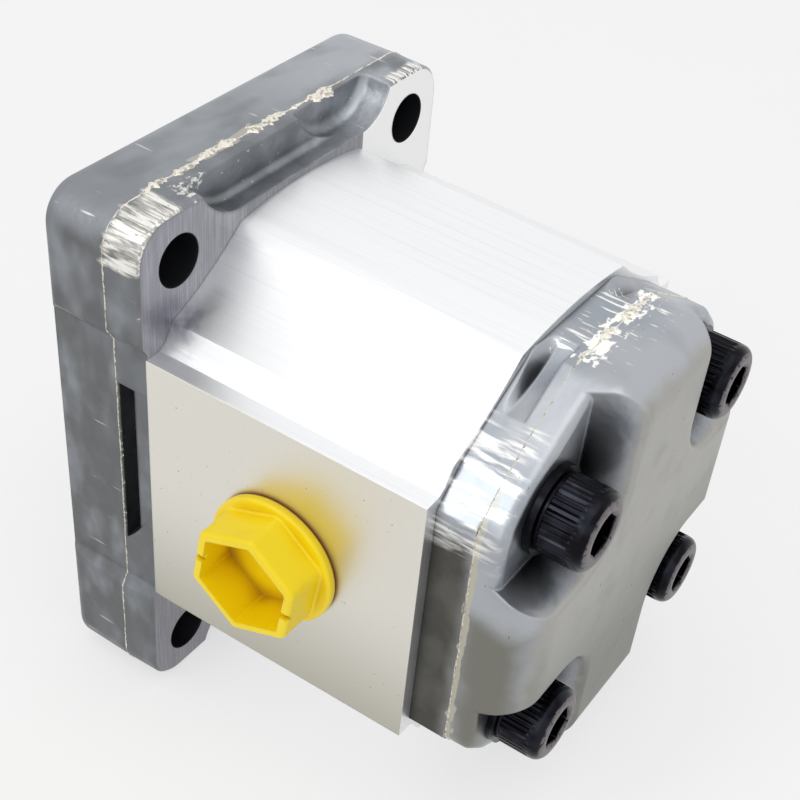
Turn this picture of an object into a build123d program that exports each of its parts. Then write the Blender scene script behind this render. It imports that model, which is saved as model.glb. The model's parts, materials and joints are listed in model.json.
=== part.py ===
from build123d import *
import os
from math import acos, cos, degrees, hypot, pi, radians, sin, sqrt, tan

os.makedirs("parts", exist_ok=True)

# External gear pump in millimetres. The origin is where the drive shaft's axis
# meets the mounting face of the front flange. +Y runs back through the pump,
# +X is the side of the plugged port and the driven gear lies above the shaft.

# Gear pair
TEETH = 12
MODULE = 2.75
PRESSURE_ANGLE = 25.0
ADDENDUM = 1.0
BACKLASH = 0.12
ROOT_CLEARANCE = 0.45
ROOT_FILLET = 0.7
FLANK_STEPS = 5
TOOTH_FOOT_DEPTH = 0.7
GEAR_WIDTH = 25.0
TIP_CLEARANCE = 0.08
AXIAL_GAP = 0.05

# Shafts
JOURNAL_D = 18.0
RUNNING_GAP = 0.03
JOURNAL_UNDERCUT = 0.3
UNDERCUT_WIDTH = 1.2
TAPER_D = 17.4
TAPER_LENGTH = 16.0
TAPER_RATIO = 8.0
SHAFT_STEP_OUT = 3.7
THREAD_D = 12.0
THREAD_LENGTH = 11.5
THREAD_RELIEF_D = 10.2
THREAD_RELIEF_LENGTH = 2.5
SHAFT_CHAMFER = 0.9

# Woodruff key in the taper
KEY_WIDTH = 4.0
KEY_DISC_D = 16.0
KEY_HEIGHT = 6.5
KEY_SEAT_DEPTH = 5.0

# Bearing blocks, bushes and balance seals
BLOCK_LENGTH = 18.25
BLOCK_CLEARANCE = 0.04
BUSH_WALL = 1.0
BUSH_RECESS = 0.6
FIT_GAP = 0.01
BLOCK_CHAMFER = 0.4
BALANCE_GROOVE_WIDTH = 3.0
BALANCE_GROOVE_DEPTH = 2.4
BALANCE_INSET = 4.9
BALANCE_WAIST_INSET = 3.3
BALANCE_END_ANGLE = 118.0
BALANCE_WAIST_ANGLE = 50.0
BACKUP_WIDTH = 1.0
RELIEF_WIDTH = 4.2
RELIEF_LENGTH = 6.4
RELIEF_DEPTH = 1.0
RELIEF_OFFSET = 5.6

# Body seals
SEAL_LAND = 1.1
SEAL_GROOVE_WIDTH = 2.4
SEAL_GROOVE_DEPTH = 1.8
SEAL_CORD_WIDTH = 2.0

# Screws that clamp flange, body and cover
SCREW_D = 10.0
SCREW_LENGTH = 95.0
SCREW_HOLE_D = 10.5
SCREW_LAND = 0.9
SCREW_ANGLE = 19.7
SCREW_HEAD_D = 16.0
SCREW_HEAD_HEIGHT = 10.0
SCREW_HEAD_CHAMFER = 0.7
SCREW_SOCKET = 8.0
SCREW_SOCKET_DEPTH = 5.5
SCREW_TIP_CHAMFER = 0.8
SCREW_HOLE_FLOOR = 2.3
WASHER_D = 17.6
WASHER_THICKNESS = 1.6

# Extruded body
TOP_WALL = 13.27
SIDE_WALL = 12.75
BODY_SHOULDER_X = 18.5
BODY_SHOULDER_DROP = 1.7
BODY_FLANK_X = 38.0
BODY_FLANK_DROP = 14.0
BODY_FLANK_HOLLOW = 0.9
BODY_NECK_X = 40.0
BODY_NECK_DROP = 17.4
PORT_FACE_DROP = 18.8
PORT_LEDGE_DROP = 18.6
PORT_LEDGE_X = 41.6

# Ports
PORT_D = 18.6
PORT_THREAD_DEPTH = 16.0
PORT_PASSAGE_D = 14.0
PORT_CHAMFER = 0.8

# Dowels between body, flange and cover
DOWEL_D = 6.0
DOWEL_LENGTH = 12.0
DOWEL_OFFSET = 31.0
DOWEL_CHAMFER = 0.5

# Mounting flange
BOLT_SPACING_X = 71.5
BOLT_SPACING_Z = 96.2
BOLT_ROW_BELOW_SHAFT = 32.5
BOLT_HOLE_D = 10.5
EAR_EDGE_X = 10.75
EAR_EDGE_Z = 10.4
FLANGE_THICKNESS = 23.0
FLANGE_PARTING = 15.0
FLANGE_CORNER_R = 8.0
FLANGE_FRONT_R = 3.0
FLANGE_REAR_BEVEL = 0.6
FLANGE_DRAFT = 1.2
WAIST_DEPTH = 1.75
WAIST_SLOPE = 2.8
WAIST_EAR_TOP = 26.4
WAIST_EAR_BOTTOM = 29.9
PILOT_D = 36.5
PILOT_HEIGHT = 4.8
PILOT_CHAMFER = 0.6

# Casting pockets in the flange's top and bottom edges, open to the rear
POCKET_ABOVE_BODY = 1.0
POCKET_DEPTH = 4.7
POCKET_LEFT_X = -28.5
POCKET_RIGHT_X = 30.5
POCKET_LEFT_R = 9.5
POCKET_RIGHT_R = 13.0
POCKET_ROOT_R = 1.3
BOWL_DEPTH = 7.0
BOWL_LEFT_X = -29.0
BOWL_RIGHT_X = -3.5
BOWL_RIGHT_R = 12.0
BOWL_ROOT_R = 2.0
POCKET_OVERRUN = 10.0

# Slots in the flange's sides, a groove behind the parting with a ledge behind it
SLOT_ABOVE_CENTRE = 21.1
SLOT_REAR_BELOW_CENTRE = 3.9
SLOT_TIP_BELOW_CENTRE = 19.3
SLOT_TIP_BULGE = 2.2
SLOT_DEPTH = 5.5
SLOT_LEDGE_DEPTH = 1.2
SLOT_LEDGE_WIDTH = 4.8
SLOT_FRONT_WALL = 0.4

# Shaft seal and its ring in the flange
SEAL_BORE_D = 30.0
SEAL_WIDTH = 7.0
SEAL_CASE_WALL = 1.0
SEAL_SPRING_D = 1.4
SEAL_SPRING_SIDES = 8
SEAL_LIP_WIDTH = 0.8
SEAL_EDGE_DEPTH = 4.7
RING_THICKNESS = 1.2
RING_GROOVE_WIDTH = 1.3
RING_GROOVE_DEPTH = 0.7
RING_SETBACK = 1.5
RING_BAND = 2.4
RING_LUG_R = 2.2
RING_LUG_SINK = 0.55
RING_LUG_HOLE_D = 1.7
RING_OPENING = 46.0
SHAFT_HOLE_CLEARANCE = 1.0

# Rear cover
COVER_PARTING = 8.3
COVER_HEIGHT = 23.3
COVER_SIDE_INSET = 3.2
COVER_TOP_INSET = 2.0
COVER_SHOULDER_R = 7.5
COVER_LUG_X = 15.0
COVER_FLANK_X = 35.0
COVER_FLANK_DROP = 12.0
COVER_CORNER_DROP = 19.1
COVER_CORNER_R = 8.0
COVER_EDGE_R = 2.0
COVER_DRAFT = 1.0
RECESS_START_X = 8.6
RECESS_END_X = 26.3
RECESS_SAG = 1.2
RECESS_SLANT = 2.5
RECESS_BACK = 6.1
RECESS_RIM = 0.4
RECESS_OVERRUN = 6.0
SCOOP_DEPTH = 9.5
SCOOP_SEAT_R = 10.2
SCOOP_RIM_R = 14.6
SCOOP_RIM_FILLET = 1.5

# Plastic port plug
HEX_SIDES = 6
PLUG_FLANGE_D = 27.8
PLUG_FLANGE_THICKNESS = 2.2
PLUG_FLANGE_R = 0.7
PLUG_HEX_R = 12.65
PLUG_HEX_CORNER_R = 1.8
PLUG_HEX_INNER_R = 0.8
PLUG_HEX_HEIGHT = 8.4
PLUG_HEX_ANGLE = 21.6
PLUG_HEX_FOOT_R = 0.5
PLUG_RIM_R = 0.8
PLUG_WALL = 1.8
PLUG_SHANK_LENGTH = 12.0
PLUG_THREAD_GAP = 0.25
PLUG_BORE_D = 14.4
PLUG_SEAT_GAP = 0.05
PLUG_NOTCH_WIDTH = 1.6
PLUG_NOTCH_DEPTH = 1.2

# Sizes that follow from the gear pair
CENTRES = TEETH * MODULE
PITCH_R = CENTRES / 2
TIP_R = PITCH_R + ADDENDUM * MODULE
ROOT_R = CENTRES - TIP_R - ROOT_CLEARANCE
BASE_R = PITCH_R * cos(radians(PRESSURE_ANGLE))
BORE_R = TIP_R + TIP_CLEARANCE
JOURNAL_R = JOURNAL_D / 2
CENTRE_Z = CENTRES / 2
CUSP_X = sqrt(BORE_R ** 2 - CENTRE_Z ** 2)

# Stations along the shaft
BODY_Y = FLANGE_THICKNESS
FRONT_BLOCK_Y = BODY_Y + AXIAL_GAP
GEAR_Y = FRONT_BLOCK_Y + BLOCK_LENGTH + AXIAL_GAP
REAR_BLOCK_Y = GEAR_Y + GEAR_WIDTH + AXIAL_GAP
COVER_Y = REAR_BLOCK_Y + BLOCK_LENGTH + AXIAL_GAP
BODY_LENGTH = COVER_Y - BODY_Y
SEAT_Y = COVER_Y + COVER_HEIGHT - SCOOP_DEPTH
HEAD_Y = SEAT_Y + WASHER_THICKNESS
PORT_Y = GEAR_Y + GEAR_WIDTH / 2

# Places that follow from the bore, its seal and the screws
SEAL_GROOVE_R = BORE_R + SEAL_LAND + SEAL_GROOVE_WIDTH / 2
SCREW_REACH = SEAL_GROOVE_R + SEAL_GROOVE_WIDTH / 2 + SCREW_LAND + SCREW_HOLE_D / 2
SCREW_X = SCREW_REACH * cos(radians(SCREW_ANGLE))
SCREW_Z = CENTRES + SCREW_REACH * sin(radians(SCREW_ANGLE))
PORT_FACE_X = SCREW_X + SCREW_HOLE_D / 2 + SIDE_WALL
BODY_HALF_HEIGHT = CENTRE_Z + BORE_R + TOP_WALL
SCREW_R = SCREW_D / 2
TAPPED_DEPTH = FLANGE_THICKNESS - SCREW_HOLE_FLOOR

# How near to a place an edge lies that a selector takes
HAIR = 0.05

# Flange places
BOLT_Z = BOLT_SPACING_Z / 2 - BOLT_ROW_BELOW_SHAFT
FLANGE_WIDTH = BOLT_SPACING_X + 2 * EAR_EDGE_X
FLANGE_HEIGHT = BOLT_SPACING_Z + 2 * EAR_EDGE_Z
FLANGE_TOP = BOLT_Z + FLANGE_HEIGHT / 2
FLANGE_BOTTOM = BOLT_Z - FLANGE_HEIGHT / 2
WAIST_X = FLANGE_WIDTH / 2 - WAIST_DEPTH
POCKET_Z = CENTRE_Z + BODY_HALF_HEIGHT + POCKET_ABOVE_BODY
SEAL_FRONT_Y = RING_SETBACK + RING_GROOVE_WIDTH - PILOT_HEIGHT
SEAL_CHAMBER_END = SEAL_FRONT_Y + SEAL_WIDTH

# Front end of the drive shaft
TAPER_START = -PILOT_HEIGHT - SHAFT_STEP_OUT
TAPER_END = TAPER_START - TAPER_LENGTH
TAPER_SMALL_D = TAPER_D - TAPER_LENGTH / TAPER_RATIO
RELIEF_END = TAPER_END - THREAD_RELIEF_LENGTH
SHAFT_END = RELIEF_END - THREAD_LENGTH


def section(y, z=0.0):
    """Plane across the pump at depth y: local x is +X, local y is +Z."""
    return Plane(origin=(0, y, z), x_dir=(1, 0, 0), z_dir=(0, -1, 0))


def flank_point(radius):
    """Point of a tooth flank on the +Z tooth, at a radius on or above the base circle."""
    pitch_thickness = pi * MODULE / 2 - BACKLASH / 2
    working = radians(PRESSURE_ANGLE)
    base_half_angle = pitch_thickness / (2 * PITCH_R) + tan(working) - working
    roll = acos(min(BASE_R / radius, 1.0))
    angle = base_half_angle - (tan(roll) - roll)
    return radius * sin(angle), radius * cos(angle)


def tooth_outline():
    """One gear tooth that points along local +y, with its foot inside the root circle."""
    step = (TIP_R - BASE_R) / FLANK_STEPS
    radii = [BASE_R + step * i for i in range(FLANK_STEPS + 1)]
    right = [flank_point(radius) for radius in radii]
    left = [(-x, y) for x, y in right]
    foot_scale = (ROOT_R - TOOTH_FOOT_DEPTH) / BASE_R
    foot = (right[0][0] * foot_scale, right[0][1] * foot_scale)
    with BuildSketch() as tooth:
        with BuildLine():
            Line(foot, right[0])
            Spline(*right)
            ThreePointArc(right[-1], (0, TIP_R), left[-1])
            Spline(*left)
            Line(left[0], (-foot[0], foot[1]))
            Line((-foot[0], foot[1]), foot)
        make_face()
    return tooth.sketch


def gear_outline(turn):
    """Whole gear section, its first tooth turned from +Z by the given degrees."""
    with BuildSketch() as outline:
        Circle(ROOT_R)
        with PolarLocations(0, TEETH, start_angle=turn):
            add(tooth_outline())
        roots = [v for v in outline.vertices() if abs(v.center().length - ROOT_R) < HAIR]
        fillet(roots, ROOT_FILLET)
    return outline.sketch


with BuildPart() as drive_gear:
    front_journal = GEAR_Y - UNDERCUT_WIDTH
    rear_journal = GEAR_Y + GEAR_WIDTH + UNDERCUT_WIDTH
    rear_end = COVER_Y - BUSH_RECESS
    undercut_r = JOURNAL_R - JOURNAL_UNDERCUT
    with BuildSketch(Plane.XY):
        Polygon(
            (0, SHAFT_END),
            (THREAD_D / 2 - SHAFT_CHAMFER, SHAFT_END),
            (THREAD_D / 2, SHAFT_END + SHAFT_CHAMFER),
            (THREAD_D / 2, RELIEF_END),
            (THREAD_RELIEF_D / 2, RELIEF_END),
            (THREAD_RELIEF_D / 2, TAPER_END),
            (TAPER_SMALL_D / 2, TAPER_END),
            (TAPER_D / 2, TAPER_START),
            (JOURNAL_R, TAPER_START + SHAFT_CHAMFER),
            (JOURNAL_R, front_journal),
            (undercut_r, front_journal),
            (undercut_r, rear_journal),
            (JOURNAL_R, rear_journal),
            (JOURNAL_R, rear_end - SHAFT_CHAMFER),
            (JOURNAL_R - SHAFT_CHAMFER, rear_end),
            (0, rear_end),
            align=None,
        )
    revolve(axis=Axis.Y)
    with BuildSketch(section(GEAR_Y)):
        add(gear_outline(0))
    extrude(amount=-GEAR_WIDTH)
    key_y = (TAPER_START + TAPER_END) / 2
    key_taper_r = (TAPER_D + TAPER_SMALL_D) / 4
    key_disc_z = key_taper_r - KEY_SEAT_DEPTH + KEY_DISC_D / 2
    with BuildSketch(Plane.YZ.offset(-KEY_WIDTH / 2 - FIT_GAP)):
        with Locations((key_y, key_disc_z)):
            Circle(KEY_DISC_D / 2 + FIT_GAP)
    extrude(amount=KEY_WIDTH + 2 * FIT_GAP, mode=Mode.SUBTRACT)
drive_gear.part.label = "drive_gear"

with BuildPart() as driven_gear:
    front_end = BODY_Y + BUSH_RECESS
    with BuildSketch(Plane.XY.offset(CENTRES)):
        Polygon(
            (0, front_end),
            (JOURNAL_R - SHAFT_CHAMFER, front_end),
            (JOURNAL_R, front_end + SHAFT_CHAMFER),
            (JOURNAL_R, front_journal),
            (undercut_r, front_journal),
            (undercut_r, rear_journal),
            (JOURNAL_R, rear_journal),
            (JOURNAL_R, rear_end - SHAFT_CHAMFER),
            (JOURNAL_R - SHAFT_CHAMFER, rear_end),
            (0, rear_end),
            align=None,
        )
    revolve(axis=Axis((0, 0, CENTRES), (0, 1, 0)))
    half_pitch = 180 / TEETH
    with BuildSketch(section(GEAR_Y, CENTRES)):
        add(gear_outline(half_pitch + 180 % (360 / TEETH)))
    extrude(amount=-GEAR_WIDTH)
driven_gear.part.label = "driven_gear"

with BuildPart() as shaft_key:
    key_top_z = key_taper_r - KEY_SEAT_DEPTH + KEY_HEIGHT
    with BuildSketch(Plane.YZ.offset(-KEY_WIDTH / 2)):
        with Locations((key_y, key_disc_z)):
            Circle(KEY_DISC_D / 2)
        with Locations((key_y, key_top_z)):
            Rectangle(KEY_DISC_D, KEY_DISC_D, align=(Align.CENTER, Align.MIN), mode=Mode.SUBTRACT)
    extrude(amount=KEY_WIDTH)
shaft_key.part.label = "shaft_key"


def figure_eight(y, radius):
    """Section of two discs on the two gear axes."""
    with BuildSketch(section(y)) as discs:
        with Locations((0, 0), (0, CENTRES)):
            Circle(radius)
    return discs.sketch


def seal_track(y, half_width):
    """Sketch of the body seal's track, a slot round both gear bores."""
    middle = SEAL_GROOVE_R
    with BuildSketch(section(y, CENTRE_Z)) as track:
        SlotCenterToCenter(CENTRES, 2 * (middle + half_width), rotation=90)
        SlotCenterToCenter(CENTRES, 2 * (middle - half_width), rotation=90, mode=Mode.SUBTRACT)
    return track.sketch


def pressure_band(y, shift, width):
    """Three-shaped band on a block's outer face, shifted outwards by a distance."""
    radius = BORE_R - BALANCE_INSET + shift
    waist_x = CUSP_X - BALANCE_WAIST_INSET + shift
    end = radians(BALANCE_END_ANGLE)
    waist = radians(BALANCE_WAIST_ANGLE)
    top_end = (radius * cos(end), CENTRES + radius * sin(end))
    top_waist = (radius * cos(waist), CENTRES - radius * sin(waist))
    low_waist = (radius * cos(waist), radius * sin(waist))
    low_end = (radius * cos(end), -radius * sin(end))
    with BuildSketch(section(y)) as band:
        with BuildLine():
            ThreePointArc(top_end, (radius, CENTRES), top_waist)
            ThreePointArc(top_waist, (waist_x, CENTRE_Z), low_waist)
            ThreePointArc(low_waist, (radius, 0), low_end)
        trace(line_width=width)
    return band.sketch


BUSH_R = JOURNAL_R + RUNNING_GAP + BUSH_WALL
BALANCE_WIDTH = BALANCE_GROOVE_WIDTH - BACKUP_WIDTH


def bearing_block(y, outward):
    """Bearing block from depth y; outward is -1 if its sealed face looks forward."""
    outer_y = y if outward < 0 else y + BLOCK_LENGTH
    inner_y = y + BLOCK_LENGTH if outward < 0 else y
    block_r = BORE_R - BLOCK_CLEARANCE
    with BuildPart() as block:
        for axis_z in (0, CENTRES):
            with BuildSketch(Plane.XY.offset(axis_z)):
                Polygon(
                    (0, y),
                    (block_r - BLOCK_CHAMFER, y),
                    (block_r, y + BLOCK_CHAMFER),
                    (block_r, y + BLOCK_LENGTH - BLOCK_CHAMFER),
                    (block_r - BLOCK_CHAMFER, y + BLOCK_LENGTH),
                    (0, y + BLOCK_LENGTH),
                    align=None,
                )
            revolve(axis=Axis((0, 0, axis_z), (0, 1, 0)))
        bush_holes = figure_eight(y, BUSH_R + FIT_GAP)
        extrude(bush_holes, amount=-BLOCK_LENGTH, mode=Mode.SUBTRACT)
        groove = pressure_band(outer_y, 0, BALANCE_GROOVE_WIDTH)
        extrude(groove, amount=outward * BALANCE_GROOVE_DEPTH, mode=Mode.SUBTRACT)
        with BuildSketch(section(inner_y, CENTRE_Z)):
            with Locations((-RELIEF_OFFSET, 0), (RELIEF_OFFSET, 0)):
                SlotOverall(RELIEF_LENGTH, RELIEF_WIDTH, rotation=90)
        extrude(amount=-outward * RELIEF_DEPTH, mode=Mode.SUBTRACT)
    return block.part


front_bearing_block = bearing_block(FRONT_BLOCK_Y, -1)
front_bearing_block.label = "front_bearing_block"
rear_bearing_block = bearing_block(REAR_BLOCK_Y, 1)
rear_bearing_block.label = "rear_bearing_block"


def bush(y, axis_z, label):
    """Plain bearing bush with bevelled mouths, pressed into a bearing block."""
    inner = JOURNAL_R + RUNNING_GAP
    start = y + BUSH_RECESS
    end = y + BLOCK_LENGTH - BUSH_RECESS
    bevel = BUSH_WALL / 3
    with BuildPart() as piece:
        with BuildSketch(Plane.XY.offset(axis_z)):
            Polygon(
                (inner, start + bevel),
                (inner + bevel, start),
                (BUSH_R - bevel, start),
                (BUSH_R, start + bevel),
                (BUSH_R, end - bevel),
                (BUSH_R - bevel, end),
                (inner + bevel, end),
                (inner, end - bevel),
                align=None,
            )
        revolve(axis=Axis((0, 0, axis_z), (0, 1, 0)))
    piece.part.label = label
    return piece.part


drive_front_bush = bush(FRONT_BLOCK_Y, 0, "drive_front_bush")
drive_rear_bush = bush(REAR_BLOCK_Y, 0, "drive_rear_bush")
driven_front_bush = bush(FRONT_BLOCK_Y, CENTRES, "driven_front_bush")
driven_rear_bush = bush(REAR_BLOCK_Y, CENTRES, "driven_rear_bush")


def groove_filler(y, outward, shift, width, label):
    """Strip that lies in a block's pressure groove and touches the casting beyond it."""
    outer_y = y if outward < 0 else y + BLOCK_LENGTH
    strip_height = BALANCE_GROOVE_DEPTH + AXIAL_GAP
    with BuildPart() as strip:
        band = pressure_band(outer_y - outward * BALANCE_GROOVE_DEPTH, shift, width)
        extrude(band, amount=-outward * strip_height)
    strip.part.label = label
    return strip.part


SEAL_SHIFT = (BALANCE_GROOVE_WIDTH - BALANCE_WIDTH) / 2
BACKUP_SHIFT = (BACKUP_WIDTH - BALANCE_GROOVE_WIDTH) / 2
front_balance_seal = groove_filler(
    FRONT_BLOCK_Y, -1, SEAL_SHIFT, BALANCE_WIDTH - 2 * FIT_GAP, "front_balance_seal")
rear_balance_seal = groove_filler(
    REAR_BLOCK_Y, 1, SEAL_SHIFT, BALANCE_WIDTH - 2 * FIT_GAP, "rear_balance_seal")
front_backup_ring = groove_filler(
    FRONT_BLOCK_Y, -1, BACKUP_SHIFT, BACKUP_WIDTH - 2 * FIT_GAP, "front_backup_ring")
rear_backup_ring = groove_filler(
    REAR_BLOCK_Y, 1, BACKUP_SHIFT, BACKUP_WIDTH - 2 * FIT_GAP, "rear_backup_ring")


def body_outline():
    """Outline of the extruded body about its own centre, drawn as a quarter and mirrored."""
    top = BODY_HALF_HEIGHT
    shoulder = (BODY_SHOULDER_X, top - BODY_SHOULDER_DROP)
    flank = (BODY_FLANK_X, top - BODY_FLANK_DROP)
    run = flank[0] - shoulder[0]
    fall = shoulder[1] - flank[1]
    slope = sqrt(run ** 2 + fall ** 2)
    hollow = (
        shoulder[0] + run / 2 - BODY_FLANK_HOLLOW * fall / slope,
        shoulder[1] - fall / 2 - BODY_FLANK_HOLLOW * run / slope,
    )
    crown_x = shoulder[0] / 2
    crown_z = top - BODY_SHOULDER_DROP / 4
    with BuildSketch() as outline:
        with BuildLine():
            ThreePointArc((0, top), (crown_x, crown_z), shoulder)
            ThreePointArc(shoulder, hollow, flank)
            Polyline(
                flank,
                (BODY_NECK_X, top - BODY_NECK_DROP),
                (PORT_LEDGE_X, top - PORT_LEDGE_DROP),
                (PORT_FACE_X, top - PORT_FACE_DROP),
                (PORT_FACE_X, 0),
                (0, 0),
                (0, top),
            )
        make_face()
        mirror(about=Plane.YZ)
        mirror(about=Plane.XZ)
    return outline.sketch


def screw_pattern(radius):
    """Four discs on the clamp screws, about the body's centre."""
    with BuildSketch() as discs:
        with GridLocations(2 * SCREW_X, 2 * (SCREW_Z - CENTRE_Z), 2, 2):
            Circle(radius)
    return discs.sketch


def dowel_pattern(radius):
    """Two discs on the dowels, about the body's centre."""
    with BuildSketch() as discs:
        with GridLocations(2 * DOWEL_OFFSET, 0, 2, 1):
            Circle(radius)
    return discs.sketch


with BuildPart() as gear_body:
    with BuildSketch(section(BODY_Y, CENTRE_Z)):
        add(body_outline())
    extrude(amount=-BODY_LENGTH)
    bores = figure_eight(BODY_Y, BORE_R)
    extrude(bores, amount=-BODY_LENGTH, mode=Mode.SUBTRACT)
    with BuildSketch(section(BODY_Y, CENTRE_Z)):
        add(screw_pattern(SCREW_HOLE_D / 2))
    extrude(amount=-BODY_LENGTH, mode=Mode.SUBTRACT)
    for end_y, inwards in ((BODY_Y, -1), (COVER_Y, 1)):
        with BuildSketch(section(end_y, CENTRE_Z)):
            add(dowel_pattern(DOWEL_D / 2 + FIT_GAP))
        extrude(amount=inwards * DOWEL_LENGTH / 2, mode=Mode.SUBTRACT)
    for side in (1, -1):
        mouth = Plane(
            origin=(side * PORT_FACE_X, PORT_Y, CENTRE_Z),
            x_dir=(0, 1, 0),
            z_dir=(side, 0, 0),
        )
        with BuildSketch(mouth):
            Circle(PORT_D / 2)
        extrude(amount=-PORT_THREAD_DEPTH, mode=Mode.SUBTRACT)
        with BuildSketch(mouth):
            Circle(PORT_PASSAGE_D / 2)
        extrude(amount=CUSP_X / 2 - PORT_FACE_X, mode=Mode.SUBTRACT)
        face = gear_body.faces().filter_by(Axis.X).sort_by(Axis.X)[-1 if side > 0 else 0]
        chamfer(face.edges().filter_by(GeomType.CIRCLE), PORT_CHAMFER)
gear_body.part.label = "gear_body"


def pocket_hollow(depth, left_x, right_x, right_r, root_r):
    """Solid that hollows a casting pocket out of the flange's top edge from the rear."""
    front_y = FLANGE_THICKNESS - depth
    top = FLANGE_TOP + POCKET_OVERRUN
    with BuildPart() as hollow:
        with BuildSketch(section(front_y)):
            with BuildLine():
                Line((left_x, top), (left_x, POCKET_Z + POCKET_LEFT_R))
                TangentArc(
                    (left_x, POCKET_Z + POCKET_LEFT_R),
                    (left_x + POCKET_LEFT_R, POCKET_Z),
                    tangent=(0, -1),
                )
                Line((left_x + POCKET_LEFT_R, POCKET_Z), (right_x - right_r, POCKET_Z))
                TangentArc(
                    (right_x - right_r, POCKET_Z),
                    (right_x, POCKET_Z + right_r),
                    tangent=(1, 0),
                )
                Polyline((right_x, POCKET_Z + right_r), (right_x, top), (left_x, top))
            make_face()
        extrude(amount=-depth - POCKET_OVERRUN)
        fillet(hollow.faces().sort_by(Axis.Y)[0].edges(), root_r)
    return hollow.part


def side_slot(rear_y, depth_from_face):
    """Section of the slot in the flange's side, from its front wall back to rear_y."""
    front_y = FLANGE_PARTING + SLOT_FRONT_WALL
    top = CENTRE_Z + SLOT_ABOVE_CENTRE
    rear_bottom = CENTRE_Z - SLOT_REAR_BELOW_CENTRE
    tip = CENTRE_Z - SLOT_TIP_BELOW_CENTRE
    middle = (
        (front_y + FLANGE_THICKNESS) / 2 + SLOT_TIP_BULGE / 2,
        (rear_bottom + tip) / 2 - SLOT_TIP_BULGE / 2,
    )
    with BuildSketch(Plane.YZ.offset(depth_from_face)) as slot:
        with BuildLine():
            Polyline(
                (front_y, tip),
                (front_y, top),
                (FLANGE_THICKNESS, top),
                (FLANGE_THICKNESS, rear_bottom),
            )
            ThreePointArc((FLANGE_THICKNESS, rear_bottom), middle, (front_y, tip))
        make_face()
        with Locations((rear_y, CENTRE_Z)):
            Rectangle(
                FLANGE_THICKNESS,
                FLANGE_HEIGHT,
                align=(Align.MIN, Align.CENTER),
                mode=Mode.SUBTRACT,
            )
    return slot.sketch


with BuildPart() as flange_pockets:
    add(pocket_hollow(POCKET_DEPTH, POCKET_LEFT_X, POCKET_RIGHT_X, POCKET_RIGHT_R, POCKET_ROOT_R))
    mirror(about=Plane.XY.offset(CENTRE_Z))
    add(pocket_hollow(BOWL_DEPTH, BOWL_LEFT_X, BOWL_RIGHT_X, BOWL_RIGHT_R, BOWL_ROOT_R))

with BuildPart() as front_flange:
    with BuildSketch(section(FLANGE_PARTING, BOLT_Z)):
        RectangleRounded(FLANGE_WIDTH, FLANGE_HEIGHT, FLANGE_CORNER_R)
    extrude(amount=FLANGE_PARTING, taper=FLANGE_DRAFT)
    fillet(front_flange.faces().sort_by(Axis.Y)[0].edges(), FLANGE_FRONT_R)
    with BuildSketch(section(FLANGE_PARTING, BOLT_Z)):
        RectangleRounded(FLANGE_WIDTH, FLANGE_HEIGHT, FLANGE_CORNER_R)
    extrude(amount=FLANGE_PARTING - FLANGE_THICKNESS, taper=FLANGE_DRAFT)
    chamfer(front_flange.faces().sort_by(Axis.Y)[-1].edges(), FLANGE_REAR_BEVEL)

    waist_top = FLANGE_TOP - WAIST_EAR_TOP
    waist_bottom = FLANGE_BOTTOM + WAIST_EAR_BOTTOM
    for side in (1, -1):
        outer_x = WAIST_X + 2 * WAIST_DEPTH
        with BuildSketch(section(0)):
            Polygon(
                (side * outer_x, waist_top + 2 * WAIST_SLOPE),
                (side * WAIST_X, waist_top),
                (side * WAIST_X, waist_bottom),
                (side * outer_x, waist_bottom - 2 * WAIST_SLOPE),
                align=None,
            )
        extrude(amount=-FLANGE_THICKNESS, mode=Mode.SUBTRACT)
        ledge = side_slot(FLANGE_THICKNESS, side * WAIST_X)
        extrude(ledge, amount=-side * SLOT_LEDGE_DEPTH, mode=Mode.SUBTRACT)
        groove = side_slot(FLANGE_THICKNESS - SLOT_LEDGE_WIDTH, side * WAIST_X)
        extrude(groove, amount=-side * SLOT_DEPTH, mode=Mode.SUBTRACT)
    add(flange_pockets.part, mode=Mode.SUBTRACT)

    with BuildSketch(section(0)):
        Circle(PILOT_D / 2)
    extrude(amount=PILOT_HEIGHT)
    chamfer(front_flange.faces().sort_by(Axis.Y)[0].edges(), PILOT_CHAMFER)
    with BuildSketch(section(-PILOT_HEIGHT)):
        Circle(SEAL_BORE_D / 2)
    extrude(amount=-PILOT_HEIGHT - SEAL_CHAMBER_END, mode=Mode.SUBTRACT)
    with BuildSketch(section(RING_SETBACK - PILOT_HEIGHT)):
        Circle(SEAL_BORE_D / 2 + RING_GROOVE_DEPTH)
    extrude(amount=-RING_GROOVE_WIDTH, mode=Mode.SUBTRACT)
    with BuildSketch(section(0)):
        Circle(JOURNAL_R + SHAFT_HOLE_CLEARANCE)
    extrude(amount=-FLANGE_THICKNESS, mode=Mode.SUBTRACT)
    with BuildSketch(section(0, BOLT_Z)):
        with GridLocations(BOLT_SPACING_X, BOLT_SPACING_Z, 2, 2):
            Circle(BOLT_HOLE_D / 2)
    extrude(amount=-FLANGE_THICKNESS, mode=Mode.SUBTRACT)
    with BuildSketch(section(FLANGE_THICKNESS, CENTRE_Z)):
        add(screw_pattern(SCREW_R + FIT_GAP))
    extrude(amount=TAPPED_DEPTH, mode=Mode.SUBTRACT)
    with BuildSketch(section(FLANGE_THICKNESS, CENTRE_Z)):
        add(dowel_pattern(DOWEL_D / 2 + FIT_GAP))
    extrude(amount=DOWEL_LENGTH / 2, mode=Mode.SUBTRACT)
    track = seal_track(FLANGE_THICKNESS, SEAL_GROOVE_WIDTH / 2)
    extrude(track, amount=SEAL_GROOVE_DEPTH, mode=Mode.SUBTRACT)
front_flange.part.label = "front_flange"


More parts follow.
